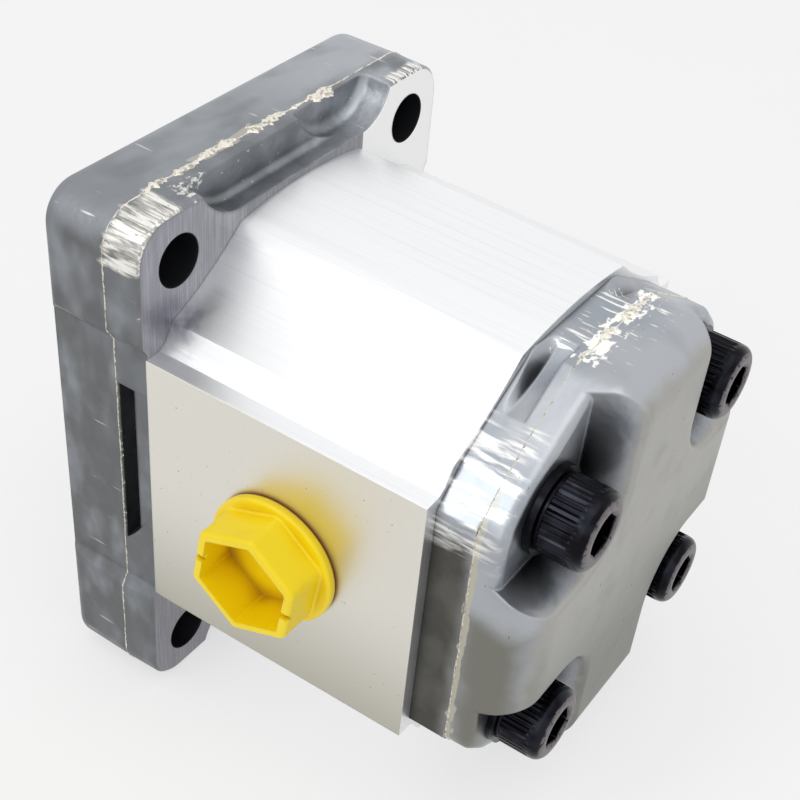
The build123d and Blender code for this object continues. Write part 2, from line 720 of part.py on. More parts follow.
def cover_outline(corner_r):
    """Outline of the rear cover about its own centre, its corners rounded if corner_r > 0."""
    top = BODY_HALF_HEIGHT - COVER_TOP_INSET
    side = PORT_FACE_X - COVER_SIDE_INSET
    with BuildSketch() as outline:
        with BuildLine():
            Polyline(
                (0, top),
                (COVER_LUG_X, top),
                (COVER_FLANK_X, top - COVER_FLANK_DROP),
                (side, top - COVER_CORNER_DROP),
                (side, 0),
                (0, 0),
                (0, top),
            )
        make_face()
        mirror(about=Plane.YZ)
        mirror(about=Plane.XZ)
        if corner_r > 0:
            fillet(outline.vertices(), corner_r)
    return outline.sketch


def recess_sketch(y, start, middle, end):
    """Section of the flank's hollow at depth y, its wall an arc through three points."""
    with BuildSketch(section(y, CENTRE_Z)) as recess:
        with BuildLine():
            ThreePointArc(start, middle, end)
            Polyline(
                end,
                (end[0] + RECESS_OVERRUN, start[1] + RECESS_OVERRUN),
                (start[0], start[1] + RECESS_OVERRUN),
                start,
            )
        make_face()
    return recess.sketch


def scoop_sketch(y, radius):
    """Corner notch round one screw, open outwards, at depth y."""
    screw_x = SCREW_X
    screw_z = SCREW_Z - CENTRE_Z
    far = BODY_HALF_HEIGHT + SCOOP_RIM_R
    inner = radius * cos(pi / 4)
    with BuildSketch(section(y, CENTRE_Z)) as scoop:
        with BuildLine():
            ThreePointArc(
                (screw_x - radius, screw_z),
                (screw_x - inner, screw_z - inner),
                (screw_x, screw_z - radius),
            )
            Polyline(
                (screw_x, screw_z - radius),
                (far, screw_z - radius),
                (far, far),
                (screw_x - radius, far),
                (screw_x - radius, screw_z),
            )
        make_face()
    return scoop.sketch


with BuildPart() as scoops:
    rim_r = 2 * SCOOP_RIM_R - SCOOP_SEAT_R
    rim_y = SEAT_Y + 2 * SCOOP_DEPTH
    loft([scoop_sketch(SEAT_Y, SCOOP_SEAT_R), scoop_sketch(rim_y, rim_r)], ruled=True)
    mirror(about=Plane.YZ)
    mirror(about=Plane.XY.offset(CENTRE_Z))

with BuildPart() as recesses:
    lug_z = BODY_HALF_HEIGHT - COVER_TOP_INSET
    flank_fall = COVER_FLANK_DROP / (COVER_FLANK_X - COVER_LUG_X)
    recess_end_z = lug_z - flank_fall * (RECESS_END_X - COVER_LUG_X)
    chord = Vector(RECESS_END_X - RECESS_START_X, recess_end_z - lug_z)
    inwards = chord.normalized().rotate(Axis.Z, -90)
    deepest = Vector(RECESS_START_X, lug_z) + chord / 2 + inwards * RECESS_SAG
    slant_y = COVER_Y + RECESS_SLANT
    grazing = recess_sketch(
        COVER_Y - RECESS_RIM,
        (RECESS_START_X, lug_z + RECESS_RIM),
        (COVER_LUG_X, lug_z + RECESS_RIM),
        (RECESS_END_X, recess_end_z + RECESS_RIM),
    )
    sunk = recess_sketch(
        slant_y, (RECESS_START_X, lug_z), (deepest.X, deepest.Y), (RECESS_END_X, recess_end_z))
    loft([grazing, sunk], ruled=True)
    extrude(sunk, amount=RECESS_SLANT - RECESS_BACK)
    mirror(about=Plane.YZ)
    mirror(about=Plane.XY.offset(CENTRE_Z))

with BuildPart() as cover_block:
    parting_y = COVER_Y + COVER_PARTING
    with BuildSketch(section(COVER_Y, CENTRE_Z)):
        add(cover_outline(0))
    extrude(amount=-COVER_PARTING)
    with BuildSketch(section(parting_y, CENTRE_Z)):
        add(cover_outline(COVER_CORNER_R))
    extrude(amount=COVER_PARTING - COVER_HEIGHT, taper=COVER_DRAFT)
    add(recesses.part, mode=Mode.SUBTRACT)

with BuildPart() as shouldered_block:
    add(cover_block.part)
    fillet(shouldered_block.faces().sort_by(Axis.Y)[-1].edges(), COVER_SHOULDER_R)


def from_screw(edge):
    """Offsets of an edge from the nearest screw axis, positive away from the cover's middle."""
    middle = edge.center()
    return abs(middle.X) - SCREW_X, abs(middle.Z - CENTRE_Z) - (SCREW_Z - CENTRE_Z)


def is_seat_rim(edge):
    """True for an edge of a screw seat that lies on the cover's outer side."""
    x, z = from_screw(edge)
    at_seat = abs(edge.center().Y - SEAT_Y) < HAIR
    return at_seat and min(x, z) > HAIR - SCOOP_SEAT_R and hypot(x, z) > SCOOP_SEAT_R + HAIR


with BuildPart() as rear_cover:
    add(cover_block.part)
    add(scoops.part, mode=Mode.SUBTRACT)
    end_edges = rear_cover.faces().sort_by(Axis.Y)[-1].edges()
    rims = [edge for edge in end_edges if min(from_screw(edge)) > HAIR - SCREW_X + SCOOP_RIM_FILLET]
    fillet(rims, SCOOP_RIM_FILLET)
    add(shouldered_block.part, mode=Mode.INTERSECT)
    fillet([edge for edge in rear_cover.edges() if is_seat_rim(edge)], COVER_EDGE_R)
    with BuildSketch(section(COVER_Y, CENTRE_Z)):
        add(screw_pattern(SCREW_HOLE_D / 2))
    extrude(amount=-COVER_HEIGHT, mode=Mode.SUBTRACT)
    with BuildSketch(section(COVER_Y, CENTRE_Z)):
        add(dowel_pattern(DOWEL_D / 2 + FIT_GAP))
    extrude(amount=-DOWEL_LENGTH / 2, mode=Mode.SUBTRACT)
    track = seal_track(COVER_Y, SEAL_GROOVE_WIDTH / 2)
    extrude(track, amount=-SEAL_GROOVE_DEPTH, mode=Mode.SUBTRACT)
rear_cover.part.label = "rear_cover"


def seal_ring(y, label):
    """Body seal, a square cord in its track, from depth y towards the cover."""
    with BuildPart() as ring:
        cord = seal_track(y, SEAL_CORD_WIDTH / 2)
        extrude(cord, amount=2 * FIT_GAP - SEAL_GROOVE_DEPTH)
    ring.part.label = label
    return ring.part


front_body_seal = seal_ring(FLANGE_THICKNESS - SEAL_GROOVE_DEPTH + FIT_GAP, "front_body_seal")
rear_body_seal = seal_ring(COVER_Y + FIT_GAP, "rear_body_seal")


def dowel_pair(y, label):
    """Two bevelled dowels, half in the body and half in its neighbour."""
    with BuildPart() as pins:
        with BuildSketch(section(y - DOWEL_LENGTH / 2 + DOWEL_CHAMFER, CENTRE_Z)):
            add(dowel_pattern(DOWEL_D / 2))
        extrude(amount=-DOWEL_LENGTH + 2 * DOWEL_CHAMFER)
        chamfer(pins.edges().filter_by(GeomType.CIRCLE), DOWEL_CHAMFER)
    pins.part.label = label
    return pins.part


front_dowels = dowel_pair(BODY_Y, "front_dowels")
rear_dowels = dowel_pair(COVER_Y, "rear_dowels")

with BuildPart() as one_screw:
    head_end = HEAD_Y + SCREW_HEAD_HEIGHT
    tip = HEAD_Y - SCREW_LENGTH
    shank_r = SCREW_R - FIT_GAP
    head_r = SCREW_HEAD_D / 2
    with BuildSketch(Plane.XY):
        Polygon(
            (0, tip),
            (shank_r - SCREW_TIP_CHAMFER, tip),
            (shank_r, tip + SCREW_TIP_CHAMFER),
            (shank_r, HEAD_Y),
            (head_r, HEAD_Y),
            (head_r, head_end - SCREW_HEAD_CHAMFER),
            (head_r - SCREW_HEAD_CHAMFER, head_end),
            (0, head_end),
            align=None,
        )
    revolve(axis=Axis.Y)
    with BuildSketch(section(head_end)):
        RegularPolygon(SCREW_SOCKET / 2, HEX_SIDES, major_radius=False)
    extrude(amount=SCREW_SOCKET_DEPTH, mode=Mode.SUBTRACT)

SCREW_LOW_Z = CENTRES - SCREW_Z
SCREW_PLACES = [(x, 0, z) for x in (-SCREW_X, SCREW_X) for z in (SCREW_LOW_Z, SCREW_Z)]

with BuildPart() as cap_screws:
    with Locations(*SCREW_PLACES):
        add(one_screw.part)
cap_screws.part.label = "cap_screws"

with BuildPart() as washers:
    with BuildSketch(section(SEAT_Y, CENTRE_Z)):
        add(screw_pattern(WASHER_D / 2))
        add(screw_pattern(SCREW_HOLE_D / 2), mode=Mode.SUBTRACT)
    extrude(amount=-WASHER_THICKNESS)
washers.part.label = "washers"

with BuildPart() as seal_case:
    case_r = SEAL_BORE_D / 2 - FIT_GAP
    case_inner = case_r - SEAL_CASE_WALL
    case_lip_r = (case_r + JOURNAL_R) / 2 - SEAL_LIP_WIDTH / 2
    with BuildSketch(Plane.XY):
        Polygon(
            (case_lip_r, SEAL_FRONT_Y),
            (case_r - SEAL_CASE_WALL / 2, SEAL_FRONT_Y),
            (case_r, SEAL_FRONT_Y + SEAL_CASE_WALL / 2),
            (case_r, SEAL_CHAMBER_END),
            (case_inner, SEAL_CHAMBER_END),
            (case_inner, SEAL_FRONT_Y + SEAL_CASE_WALL),
            (case_lip_r, SEAL_FRONT_Y + SEAL_CASE_WALL),
            align=None,
        )
    revolve(axis=Axis.Y)
seal_case.part.label = "seal_case"

with BuildPart() as seal_lip:
    lip_r = JOURNAL_R + RUNNING_GAP
    lip_start = SEAL_FRONT_Y + SEAL_CASE_WALL
    lip_edge = SEAL_FRONT_Y + SEAL_EDGE_DEPTH
    lip_end = SEAL_CHAMBER_END - SEAL_CASE_WALL
    lip_back = lip_r + 2 * SEAL_LIP_WIDTH
    with BuildSketch(Plane.XY):
        Polygon(
            (case_lip_r - SEAL_LIP_WIDTH, lip_start),
            (case_inner, lip_start),
            (case_inner, lip_start + SEAL_LIP_WIDTH),
            (lip_back + SEAL_LIP_WIDTH / 2, lip_start + 2 * SEAL_LIP_WIDTH),
            (lip_back, lip_edge - SEAL_LIP_WIDTH),
            (lip_back, lip_end),
            (lip_r + SEAL_LIP_WIDTH, lip_end),
            (lip_r, lip_edge),
            (lip_r + SEAL_LIP_WIDTH, lip_start + SEAL_LIP_WIDTH),
            align=None,
        )
    revolve(axis=Axis.Y)
seal_lip.part.label = "seal_lip"

with BuildPart() as seal_spring:
    with BuildSketch(Plane.XY):
        with Locations((lip_back + SEAL_SPRING_D / 2, lip_edge)):
            RegularPolygon(SEAL_SPRING_D / 2 - FIT_GAP, SEAL_SPRING_SIDES)
    revolve(axis=Axis.Y)
seal_spring.part.label = "seal_spring"

with BuildPart() as retaining_ring:
    ring_y = RING_SETBACK - PILOT_HEIGHT + (RING_GROOVE_WIDTH - RING_THICKNESS) / 2
    ring_outer = SEAL_BORE_D / 2 + RING_GROOVE_DEPTH - AXIAL_GAP
    ring_inner = ring_outer - RING_BAND
    lug_reach = ring_inner - RING_LUG_SINK
    gap_half = RING_OPENING / 2
    lug_turn = gap_half + degrees(RING_LUG_R / lug_reach) / 2
    with BuildSketch(section(ring_y)):
        Circle(ring_outer)
        Circle(ring_inner, mode=Mode.SUBTRACT)
        wedge_x = 2 * ring_outer * tan(radians(gap_half))
        Polygon((0, 0), (-wedge_x, 2 * ring_outer), (wedge_x, 2 * ring_outer), align=None,
                mode=Mode.SUBTRACT)
        lugs = [
            (lug_reach * sin(radians(turn)), lug_reach * cos(radians(turn)))
            for turn in (-lug_turn, lug_turn)
        ]
        with Locations(*lugs):
            Circle(RING_LUG_R)
            Circle(RING_LUG_HOLE_D / 2, mode=Mode.SUBTRACT)
    extrude(amount=-RING_THICKNESS)
retaining_ring.part.label = "retaining_ring"

def plug_hexagon(radius, corner_r):
    """Turned hexagon of the plug's head with rounded corners."""
    with BuildSketch() as hexagon:
        RegularPolygon(radius, HEX_SIDES, rotation=PLUG_HEX_ANGLE)
        fillet(hexagon.vertices(), corner_r)
    return hexagon.sketch


with BuildPart() as port_plug:
    seat = Plane(
        origin=(PORT_FACE_X + PLUG_SEAT_GAP, PORT_Y, CENTRE_Z),
        x_dir=(0, 1, 0),
        z_dir=(1, 0, 0),
    )
    foot_x = PORT_FACE_X + PLUG_SEAT_GAP + PLUG_FLANGE_THICKNESS
    half_side_angle = 180 / HEX_SIDES
    inner_hex_r = PLUG_HEX_R - PLUG_WALL / cos(radians(half_side_angle))
    hollow_depth = PLUG_FLANGE_THICKNESS + PLUG_HEX_HEIGHT - PLUG_WALL
    with BuildSketch(seat):
        Circle(PLUG_FLANGE_D / 2)
    extrude(amount=PLUG_FLANGE_THICKNESS)
    fillet(port_plug.edges().filter_by(GeomType.CIRCLE), PLUG_FLANGE_R)
    with BuildSketch(seat.offset(PLUG_FLANGE_THICKNESS)):
        add(plug_hexagon(PLUG_HEX_R, PLUG_HEX_CORNER_R))
    extrude(amount=PLUG_HEX_HEIGHT)
    foot_edges = port_plug.edges().filter_by(lambda e: abs(e.center().X - foot_x) < HAIR)
    fillet(foot_edges.filter_by(lambda e: e.length < PLUG_HEX_R), PLUG_HEX_FOOT_R)
    fillet(port_plug.faces().sort_by(Axis.X)[-1].edges(), PLUG_RIM_R)
    with BuildSketch(seat):
        Circle(PORT_D / 2 - PLUG_THREAD_GAP)
    extrude(amount=-PLUG_SHANK_LENGTH)
    chamfer(port_plug.faces().sort_by(Axis.X)[0].edges(), PORT_CHAMFER)
    with BuildSketch(seat.offset(PLUG_WALL)):
        add(plug_hexagon(inner_hex_r, PLUG_HEX_INNER_R))
    extrude(amount=hollow_depth, mode=Mode.SUBTRACT)
    with BuildSketch(seat):
        Circle(PLUG_BORE_D / 2)
    extrude(amount=-PLUG_SHANK_LENGTH, mode=Mode.SUBTRACT)
    with BuildSketch(seat.offset(PLUG_WALL + hollow_depth)):
        Rectangle(2 * PLUG_HEX_R, PLUG_NOTCH_WIDTH, rotation=PLUG_HEX_ANGLE - half_side_angle)
    extrude(amount=-PLUG_NOTCH_DEPTH, mode=Mode.SUBTRACT)
port_plug.part.label = "port_plug"

PIECES = [
    front_flange.part,
    gear_body.part,
    rear_cover.part,
    drive_gear.part,
    driven_gear.part,
    front_bearing_block,
    rear_bearing_block,
    drive_front_bush,
    drive_rear_bush,
    driven_front_bush,
    driven_rear_bush,
    front_balance_seal,
    rear_balance_seal,
    front_backup_ring,
    rear_backup_ring,
    front_body_seal,
    rear_body_seal,
    front_dowels,
    rear_dowels,
    cap_screws.part,
    washers.part,
    seal_case.part,
    seal_lip.part,
    seal_spring.part,
    retaining_ring.part,
    shaft_key.part,
    port_plug.part,
]
for piece in PIECES:
    export_step(piece, f"parts/{piece.label}.step")
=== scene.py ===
"""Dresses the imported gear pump: finishes, knurled screws, threads, casting flash, camera and studio."""

from __future__ import annotations

import json
import logging
from collections.abc import Callable, Iterable, Sequence
from dataclasses import dataclass
from enum import Enum
from functools import partial
from math import atan2, cos, pi, radians, sin, sqrt, tau

import bmesh
import bpy
from bmesh.types import BMEdge, BMesh, BMVert
from bpy.types import Material, Node, NodeSocket, NodeTree
from mathutils import Matrix, Vector, noise

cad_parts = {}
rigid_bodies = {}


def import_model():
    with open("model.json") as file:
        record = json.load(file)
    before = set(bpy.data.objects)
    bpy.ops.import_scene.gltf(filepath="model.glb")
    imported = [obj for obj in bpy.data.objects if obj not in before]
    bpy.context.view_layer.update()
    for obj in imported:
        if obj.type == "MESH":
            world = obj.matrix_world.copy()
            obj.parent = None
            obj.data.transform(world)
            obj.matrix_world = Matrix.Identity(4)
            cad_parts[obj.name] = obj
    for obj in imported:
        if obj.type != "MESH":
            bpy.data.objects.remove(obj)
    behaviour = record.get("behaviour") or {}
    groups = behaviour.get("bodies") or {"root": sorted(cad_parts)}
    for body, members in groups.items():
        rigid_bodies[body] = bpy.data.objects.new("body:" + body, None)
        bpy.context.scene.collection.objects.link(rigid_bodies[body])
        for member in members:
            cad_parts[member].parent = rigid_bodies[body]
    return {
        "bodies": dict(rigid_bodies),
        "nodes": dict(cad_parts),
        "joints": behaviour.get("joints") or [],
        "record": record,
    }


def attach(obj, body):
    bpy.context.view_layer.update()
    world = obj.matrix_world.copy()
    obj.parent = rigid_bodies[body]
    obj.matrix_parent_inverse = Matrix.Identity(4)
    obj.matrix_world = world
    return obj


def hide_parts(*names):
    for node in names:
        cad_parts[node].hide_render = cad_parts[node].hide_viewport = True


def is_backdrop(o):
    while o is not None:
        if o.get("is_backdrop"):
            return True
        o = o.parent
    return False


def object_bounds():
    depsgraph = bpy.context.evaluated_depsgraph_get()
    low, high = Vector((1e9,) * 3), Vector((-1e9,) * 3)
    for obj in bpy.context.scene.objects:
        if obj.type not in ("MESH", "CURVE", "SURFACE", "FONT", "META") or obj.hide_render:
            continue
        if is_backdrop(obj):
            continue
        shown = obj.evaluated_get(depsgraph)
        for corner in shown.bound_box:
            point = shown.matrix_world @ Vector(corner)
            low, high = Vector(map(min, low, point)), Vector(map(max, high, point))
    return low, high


MM = 0.001
LOG = logging.getLogger("pump")

Triple = tuple[float, float, float]
Profile = Callable[[float], tuple[float, float]]

# How far one step of a noise's seed moves it along each axis.
SEED_SHIFT = (1.0, 1.7, 2.3)
# Depth of a metric external thread, as a share of its pitch.
THREAD_DEPTH = 0.61343
# How close points are joined, and how close to a cut they count as on it, in millimetres.
WELD = 0.001
CUT = 0.0001


class Body(Enum):
    """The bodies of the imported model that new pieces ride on."""

    HOUSING = "housing"
    DRIVE_SHAFT = "drive_shaft"


class Slot(Enum):
    """The material slots of the record."""

    CAST_FLANGE = "cast_flange"
    EXTRUDED_BODY = "extruded_body"
    CAST_COVER = "cast_cover"
    BLACK_STEEL = "black_steel"
    YELLOW_PLASTIC = "yellow_plastic"
    GEAR_STEEL = "gear_steel"
    BLOCK_ALLOY = "block_alloy"
    BUSH_BRONZE = "bush_bronze"
    SEAL_RUBBER = "seal_rubber"
    BACKUP_PLASTIC = "backup_plastic"
    LIP_RUBBER = "lip_rubber"
    SPRING_STEEL = "spring_steel"


def linear(code: str) -> tuple[float, float, float, float]:
    """Turns an sRGB hex colour into linear values.

    Args:
        code: Six hex digits after a hash.

    Returns:
        Red, green, blue and an alpha of 1.
    """
    parts = [int(code[i : i + 2], 16) / 255 for i in (1, 3, 5)]
    values = [p / 12.92 if p <= 0.04045 else ((p + 0.055) / 1.055) ** 2.4 for p in parts]
    return values[0], values[1], values[2], 1.0


def add_node(tree: NodeTree, kind: str, inputs: dict | None = None, **settings: object) -> Node:
    """Adds a shader node with its settings and links.

    Args:
        tree: The node tree that gets the node.
        kind: The node's type name.
        inputs: Values or output sockets, by input name or number.
        **settings: Attributes of the node.

    Returns:
        The new node.
    """
    node = tree.nodes.new(kind)
    for name, value in settings.items():
        setattr(node, name, value)
    for key, value in (inputs or {}).items():
        if isinstance(value, NodeSocket):
            tree.links.new(value, node.inputs[key])
        else:
            node.inputs[key].default_value = value
    return node


class Skin:
    """A surface that is built up in layers, each with a colour and a roughness of its own."""

    def __init__(self, name: str, colour: str, roughness: float, metallic: float) -> None:
        """Starts a skin from its ground layer.

        Args:
            name: The material's name.
            colour: sRGB hex colour of the ground layer.
            roughness: Roughness of the ground layer.
            metallic: 1 for metal and 0 for anything else.
        """
        self.material = bpy.data.materials.new(name)
        self.material.use_nodes = True
        self.add = partial(add_node, self.material.node_tree)
        self.shader = self.material.node_tree.nodes["Principled BSDF"]
        self.shader.inputs["Metallic"].default_value = metallic
        self.colour: NodeSocket | tuple = linear(colour)
        self.roughness: NodeSocket | float = roughness
        self.normal: NodeSocket | None = None
        place = {0: self.add("ShaderNodeTexCoord").outputs["Object"], 1: (1 / MM, 1 / MM, 1 / MM)}
        self.point = self.add("ShaderNodeVectorMath", place, operation="MULTIPLY").outputs[0]

    def grain(self, size: float | Triple, detail: float, seed: float) -> NodeSocket:
        """Draws noise whose lumps have a real size.

        Args:
            size: Lump size in millimetres, one for all axes or one for each.
            detail: Octaves of finer noise on top.
            seed: Shift that makes one noise differ from the next.

        Returns:
            A value near 0.5 on average, between 0 and 1.
        """
        sizes = size if isinstance(size, tuple) else (size, size, size)
        place = {0: self.point, 1: tuple(1 / s for s in sizes), 2: tuple(seed * s for s in SEED_SHIFT)}
        moved = self.add("ShaderNodeVectorMath", place, operation="MULTIPLY_ADD").outputs[0]
        return self.add("ShaderNodeTexNoise", {"Vector": moved, "Scale": 1.0, "Detail": detail}).outputs[0]

    def above(self, value: NodeSocket, low: float, high: float, most: float = 1.0) -> NodeSocket:
        """Masks a value smoothly, from 0 at low to most at high. Where low is the larger, the mask falls."""
        limits = {0: value, 1: low, 2: high, 3: 0.0, 4: most}
        return self.add("ShaderNodeMapRange", limits, interpolation_type="SMOOTHSTEP").outputs[0]

    def grains(
        self, size: float | Triple, detail: float, seed: float, low: float, high: float, most: float = 1.0
    ) -> NodeSocket:
        """Masks the noise of grain() from low to high, as above() does."""
        return self.above(self.grain(size, detail, seed), low, high, most)

    def _beyond(self, middle: Triple, half: Triple) -> NodeSocket:
        """Measures how far, on each axis, a point lies more than half a width from a middle.

        Args:
            middle: The middle, in millimetres.
            half: Half the width along each axis.

        Returns:
            The distances, which are negative within the width.
        """
        offset = self.add("ShaderNodeVectorMath", {0: self.point, 1: middle}, operation="SUBTRACT")
        folded = self.add("ShaderNodeVectorMath", {0: offset.outputs[0]}, operation="ABSOLUTE")
        return self.add("ShaderNodeVectorMath", {0: folded.outputs[0], 1: half}, operation="SUBTRACT").outputs[0]

    def zone(
        self, low: Triple, high: Triple, soft: float, ragged: float = 0.0, lump: float | Triple = 2.0
    ) -> NodeSocket:
        """Masks a box, in millimetres. Noise of a mean of 0.5 moves its edge to both sides.

        Args:
            low: The box's lowest corner.
            high: The box's highest corner.
            soft: Half the width over which the mask fades.
            ragged: How far noise moves the edge.
            lump: Lump size of that noise.

        Returns:
            A mask that is 1 inside the box.
        """
        middle = tuple((a + b) / 2 for a, b in zip(low, high))
        half = tuple((b - a) / 2 for a, b in zip(low, high))
        away, *others = self.add("ShaderNodeSeparateXYZ", {0: self._beyond(middle, half)}).outputs
        for other in others:
            away = self.add("ShaderNodeMath", {0: away, 1: other}, operation="MAXIMUM").outputs[0]
        if ragged:
            lumps = {0: self.grain(lump, 4.0, ragged), 1: 4 * ragged, 2: away}
            away = self.add("ShaderNodeMath", lumps, operation="MULTIPLY_ADD").outputs[0]
        return self.above(away, 2 * ragged + soft, 2 * ragged - soft)

    def slope(self, axis: int, low: float, high: float, most: float = 1.0) -> NodeSocket:
        """Masks a gradual change along X, Y or Z (0, 1 or 2), from 0 at low to most at high, in millimetres."""
        return self.above(self.add("ShaderNodeSeparateXYZ", {0: self.point}).outputs[axis], low, high, most)

    def holes(self, middle: tuple[float, float], half: tuple[float, float], radius: float) -> NodeSocket:
        """Masks the walls of four holes along Y, in millimetres.

        Args:
            middle: X and Z of the middle of the four.
            half: Half the spacing of the holes in X and Z.
            radius: The holes' radius.

        Returns:
            A mask that is 1 inside and on the holes.
        """
        nearest = self._beyond((middle[0], 0, middle[1]), (half[0], 0, half[1]))
        flat = self.add("ShaderNodeVectorMath", {0: nearest, 1: (1, 0, 1)}, operation="MULTIPLY").outputs[0]
        reach = self.add("ShaderNodeVectorMath", {0: flat}, operation="LENGTH").outputs["Value"]
        return self.above(reach, radius + 0.16, radius + 0.04)

    def hollows(self, reach: float, deep: float, shallow: float, most: float = 1.0) -> NodeSocket:
        """Masks places that other surfaces close in on, such as corners and narrow gaps, for layers of painted shade.

        Args:
            reach: How far away surfaces count, in millimetres.
            deep: Openness at and under which the mask is full.
            shallow: Openness from which there is no mask.
            most: The full mask's value.

        Returns:
            The mask.
        """
        open_sky = self.add("ShaderNodeAmbientOcclusion", {"Distance": reach * MM}, samples=8)
        return self.above(open_sky.outputs["AO"], shallow, deep, most)

    def lay(self, colour: str, roughness: float, *masks: NodeSocket) -> None:
        """Lays a colour and a roughness over what is there, where all masks say so.

        Args:
            colour: sRGB hex colour.
            roughness: Roughness of the layer.
            *masks: 1 where the layer covers, 0 where it doesn't.
        """
        mask = masks[0]
        for other in masks[1:]:
            mask = self.add("ShaderNodeMath", {0: mask, 1: other}, operation="MULTIPLY").outputs[0]
        colours = {0: mask, 6: self.colour, 7: linear(colour)}
        self.colour = self.add("ShaderNodeMix", colours, data_type="RGBA").outputs[2]
        shares = {0: mask, 2: self.roughness, 3: roughness}
        self.roughness = self.add("ShaderNodeMix", shares, data_type="FLOAT").outputs[0]

    def lift(self, height: NodeSocket, depth: float) -> None:
        """Adds relief to the surface.

        Args:
            height: Height between 0 and 1.
            depth: What a height of 1 stands for, in millimetres.
        """
        inputs = {"Height": height, "Distance": depth * MM, "Strength": 1.0}
        if self.normal is not None:
            inputs["Normal"] = self.normal
        self.normal = self.add("ShaderNodeBump", inputs).outputs[0]

    def soften(self, radius: float) -> None:
        """Rounds the look of hard edges by a radius in millimetres. It comes before any relief."""
        self.normal = self.add("ShaderNodeBevel", {"Radius": radius * MM}, samples=6).outputs[0]

    def done(self) -> Material:
        """Joins the layers to the shader.

        Returns:
            The finished material.
        """
        for key, value in (("Base Color", self.colour), ("Roughness", self.roughness), ("Normal", self.normal)):
            if isinstance(value, NodeSocket):
                self.material.node_tree.links.new(value, self.shader.inputs[key])
            elif value is not None:
                self.shader.inputs[key].default_value = value
        return self.material


@dataclass(frozen=True)
class DieCastFlange:
    """Die-cast aluminium, dull grey as it left the die, with scraped edges and milled rear faces.

    To the eye: soft grey clouds, bright metal where flash was filed away, satin mill marks on the ears.
    """

    skin: str = "#8c8f94"
    far: str = "#b2b6bc"
    light: str = "#a6aab0"
    dark: str = "#74777b"
    side: str = "#6a6c6d"
    rear: str = "#75787b"
    hollow_shade: str = "#53565a"
    bright: str = "#f4f2ec"
    scraped: str = "#b4b2ab"
    fleck: str = "#85837e"
    milled: str = "#85858b"
    brushed: str = "#a3a3aa"
    far_milled_highlight: str = "#f1f2f1"
    inside: str = "#2c2d30"
    parting_y: float = 15.0
    rear_y: float = 23.0
    holes_middle: tuple[float, float] = (0.0, 15.6)
    holes_half: tuple[float, float] = (35.75, 48.1)
    hole_r: float = 5.25

    def material(self) -> Material:
        """Makes the flange's material.

        Returns:
            The material.
        """
        skin = Skin("die_cast_aluminium_flange", self.skin, 0.46, 1.0)
        skin.soften(0.8)
        # Painted light: the flange is laid lighter towards its far end, at -X.
        skin.lay(self.far, 0.4, skin.slope(0, 15, -30, 0.9))
        skin.lay(self.light, 0.4, skin.grains((18, 9, 18), 2, 1, 0.42, 0.72, 0.6))
        skin.lay(self.dark, 0.44, skin.grains((13, 8, 13), 2.5, 5, 0.48, 0.8, 0.6))
        # Painted shade: the flange's side at +X is laid darker than its top, with lighter patches in it.
        side = skin.zone((43.2, -10, -60), (60, 30, 69), 1.8, 1.2, 9)
        skin.lay(self.side, 0.42, side, skin.grains((10, 8, 14), 2.5, 8, 0.3, 0.6, 0.95))
        rear = skin.zone((-60, self.parting_y, -60), (60, 30, 90), 0.3)
        skin.lay(self.rear, 0.44, rear, skin.grains(8, 3, 9, 0.3, 0.7, 0.85))
        # Painted shade: darker in corners, narrow gaps and the pocket, where other surfaces close in.
        skin.lay(self.hollow_shade, 0.55, skin.hollows(4, 0.15, 0.55, 0.6))
        self._lay_scrapes(skin)
        self._lay_milling(skin)
        # Painted shade: the walls of the four mounting holes are laid dark.
        skin.lay(self.inside, 0.7, skin.holes(self.holes_middle, self.holes_half, self.hole_r))
        skin.lift(skin.grain(0.9, 3, 2), 0.05)
        skin.lift(skin.grain(6, 2, 4), 0.3)
        return skin.done()

    def _lay_scrapes(self, skin: Skin) -> None:
        """Lays the bright metal where flash was scraped off along the parting line and the ear corners.

        Args:
            skin: The skin that gets the layers.
        """
        y = self.parting_y
        skin.lay(self.scraped, 0.5, skin.zone((2, y - 1.6, 70), (22, y + 0.4, 80), 0.3, 1.1, (3, 1.4, 3)))
        streaks = skin.grains((0.6, 7, 0.6), 4, 7, 0.4, 0.6)
        corner = skin.zone((35, y + 0.2, 65), (60, 30, 90), 0.8, 1.8, (3, 6, 3))
        skin.lay(self.scraped, 0.4, corner, skin.grains((1.5, 5, 1.5), 3, 9, 0.3, 0.5, 0.9))
        skin.lay(self.bright, 0.36, corner, streaks)
        brow = skin.zone((23.5, y + 2.4, 72.4), (31, self.rear_y - 0.2, 90), 0.5, 1.4, 1.2)
        skin.lay(self.bright, 0.42, brow, skin.grains(1.1, 4, 15, 0.45, 0.58, 0.8))
        far_ear = skin.zone((-41, 20.5, 70), (-30, 30, 90), 0.6, 1.2, (2, 5, 2))
        skin.lay(self.bright, 0.4, far_ear, streaks)
        skin.lay(self.fleck, 0.5, corner, skin.grains((0.5, 1.6, 0.5), 4, 12, 0.62, 0.68, 0.7))
        skin.lay(self.bright, 0.38, skin.grains((0.9, 14, 0.9), 2, 3, 0.7, 0.76, 0.6))

    def _lay_milling(self, skin: Skin) -> None:
        """Lays the faces that are milled flat: the ears behind, and the mounting face in front.

        Args:
            skin: The skin that gets the layers.
        """
        lines = skin.grains((0.35, 1, 14), 3, 6, 0.42, 0.7, 0.6)
        y = self.rear_y - 0.06
        behind = skin.zone((-60, y, -60), (60, 30, 90), 0.03)
        skin.lay(self.milled, 0.3, behind)
        skin.lay(self.brushed, 0.34, behind, lines)
        # Painted highlight: the milled rear face of the far ear, at -X, is laid near white.
        skin.lay(self.far_milled_highlight, 0.3, skin.zone((-60, y, -60), (-20, 30, 90), 0.03))
        ahead = skin.zone((-60, -6, -60), (60, 0.06, 90), 0.03)
        skin.lay(self.far, 0.3, ahead)
        skin.lay(self.brushed, 0.34, ahead, lines)


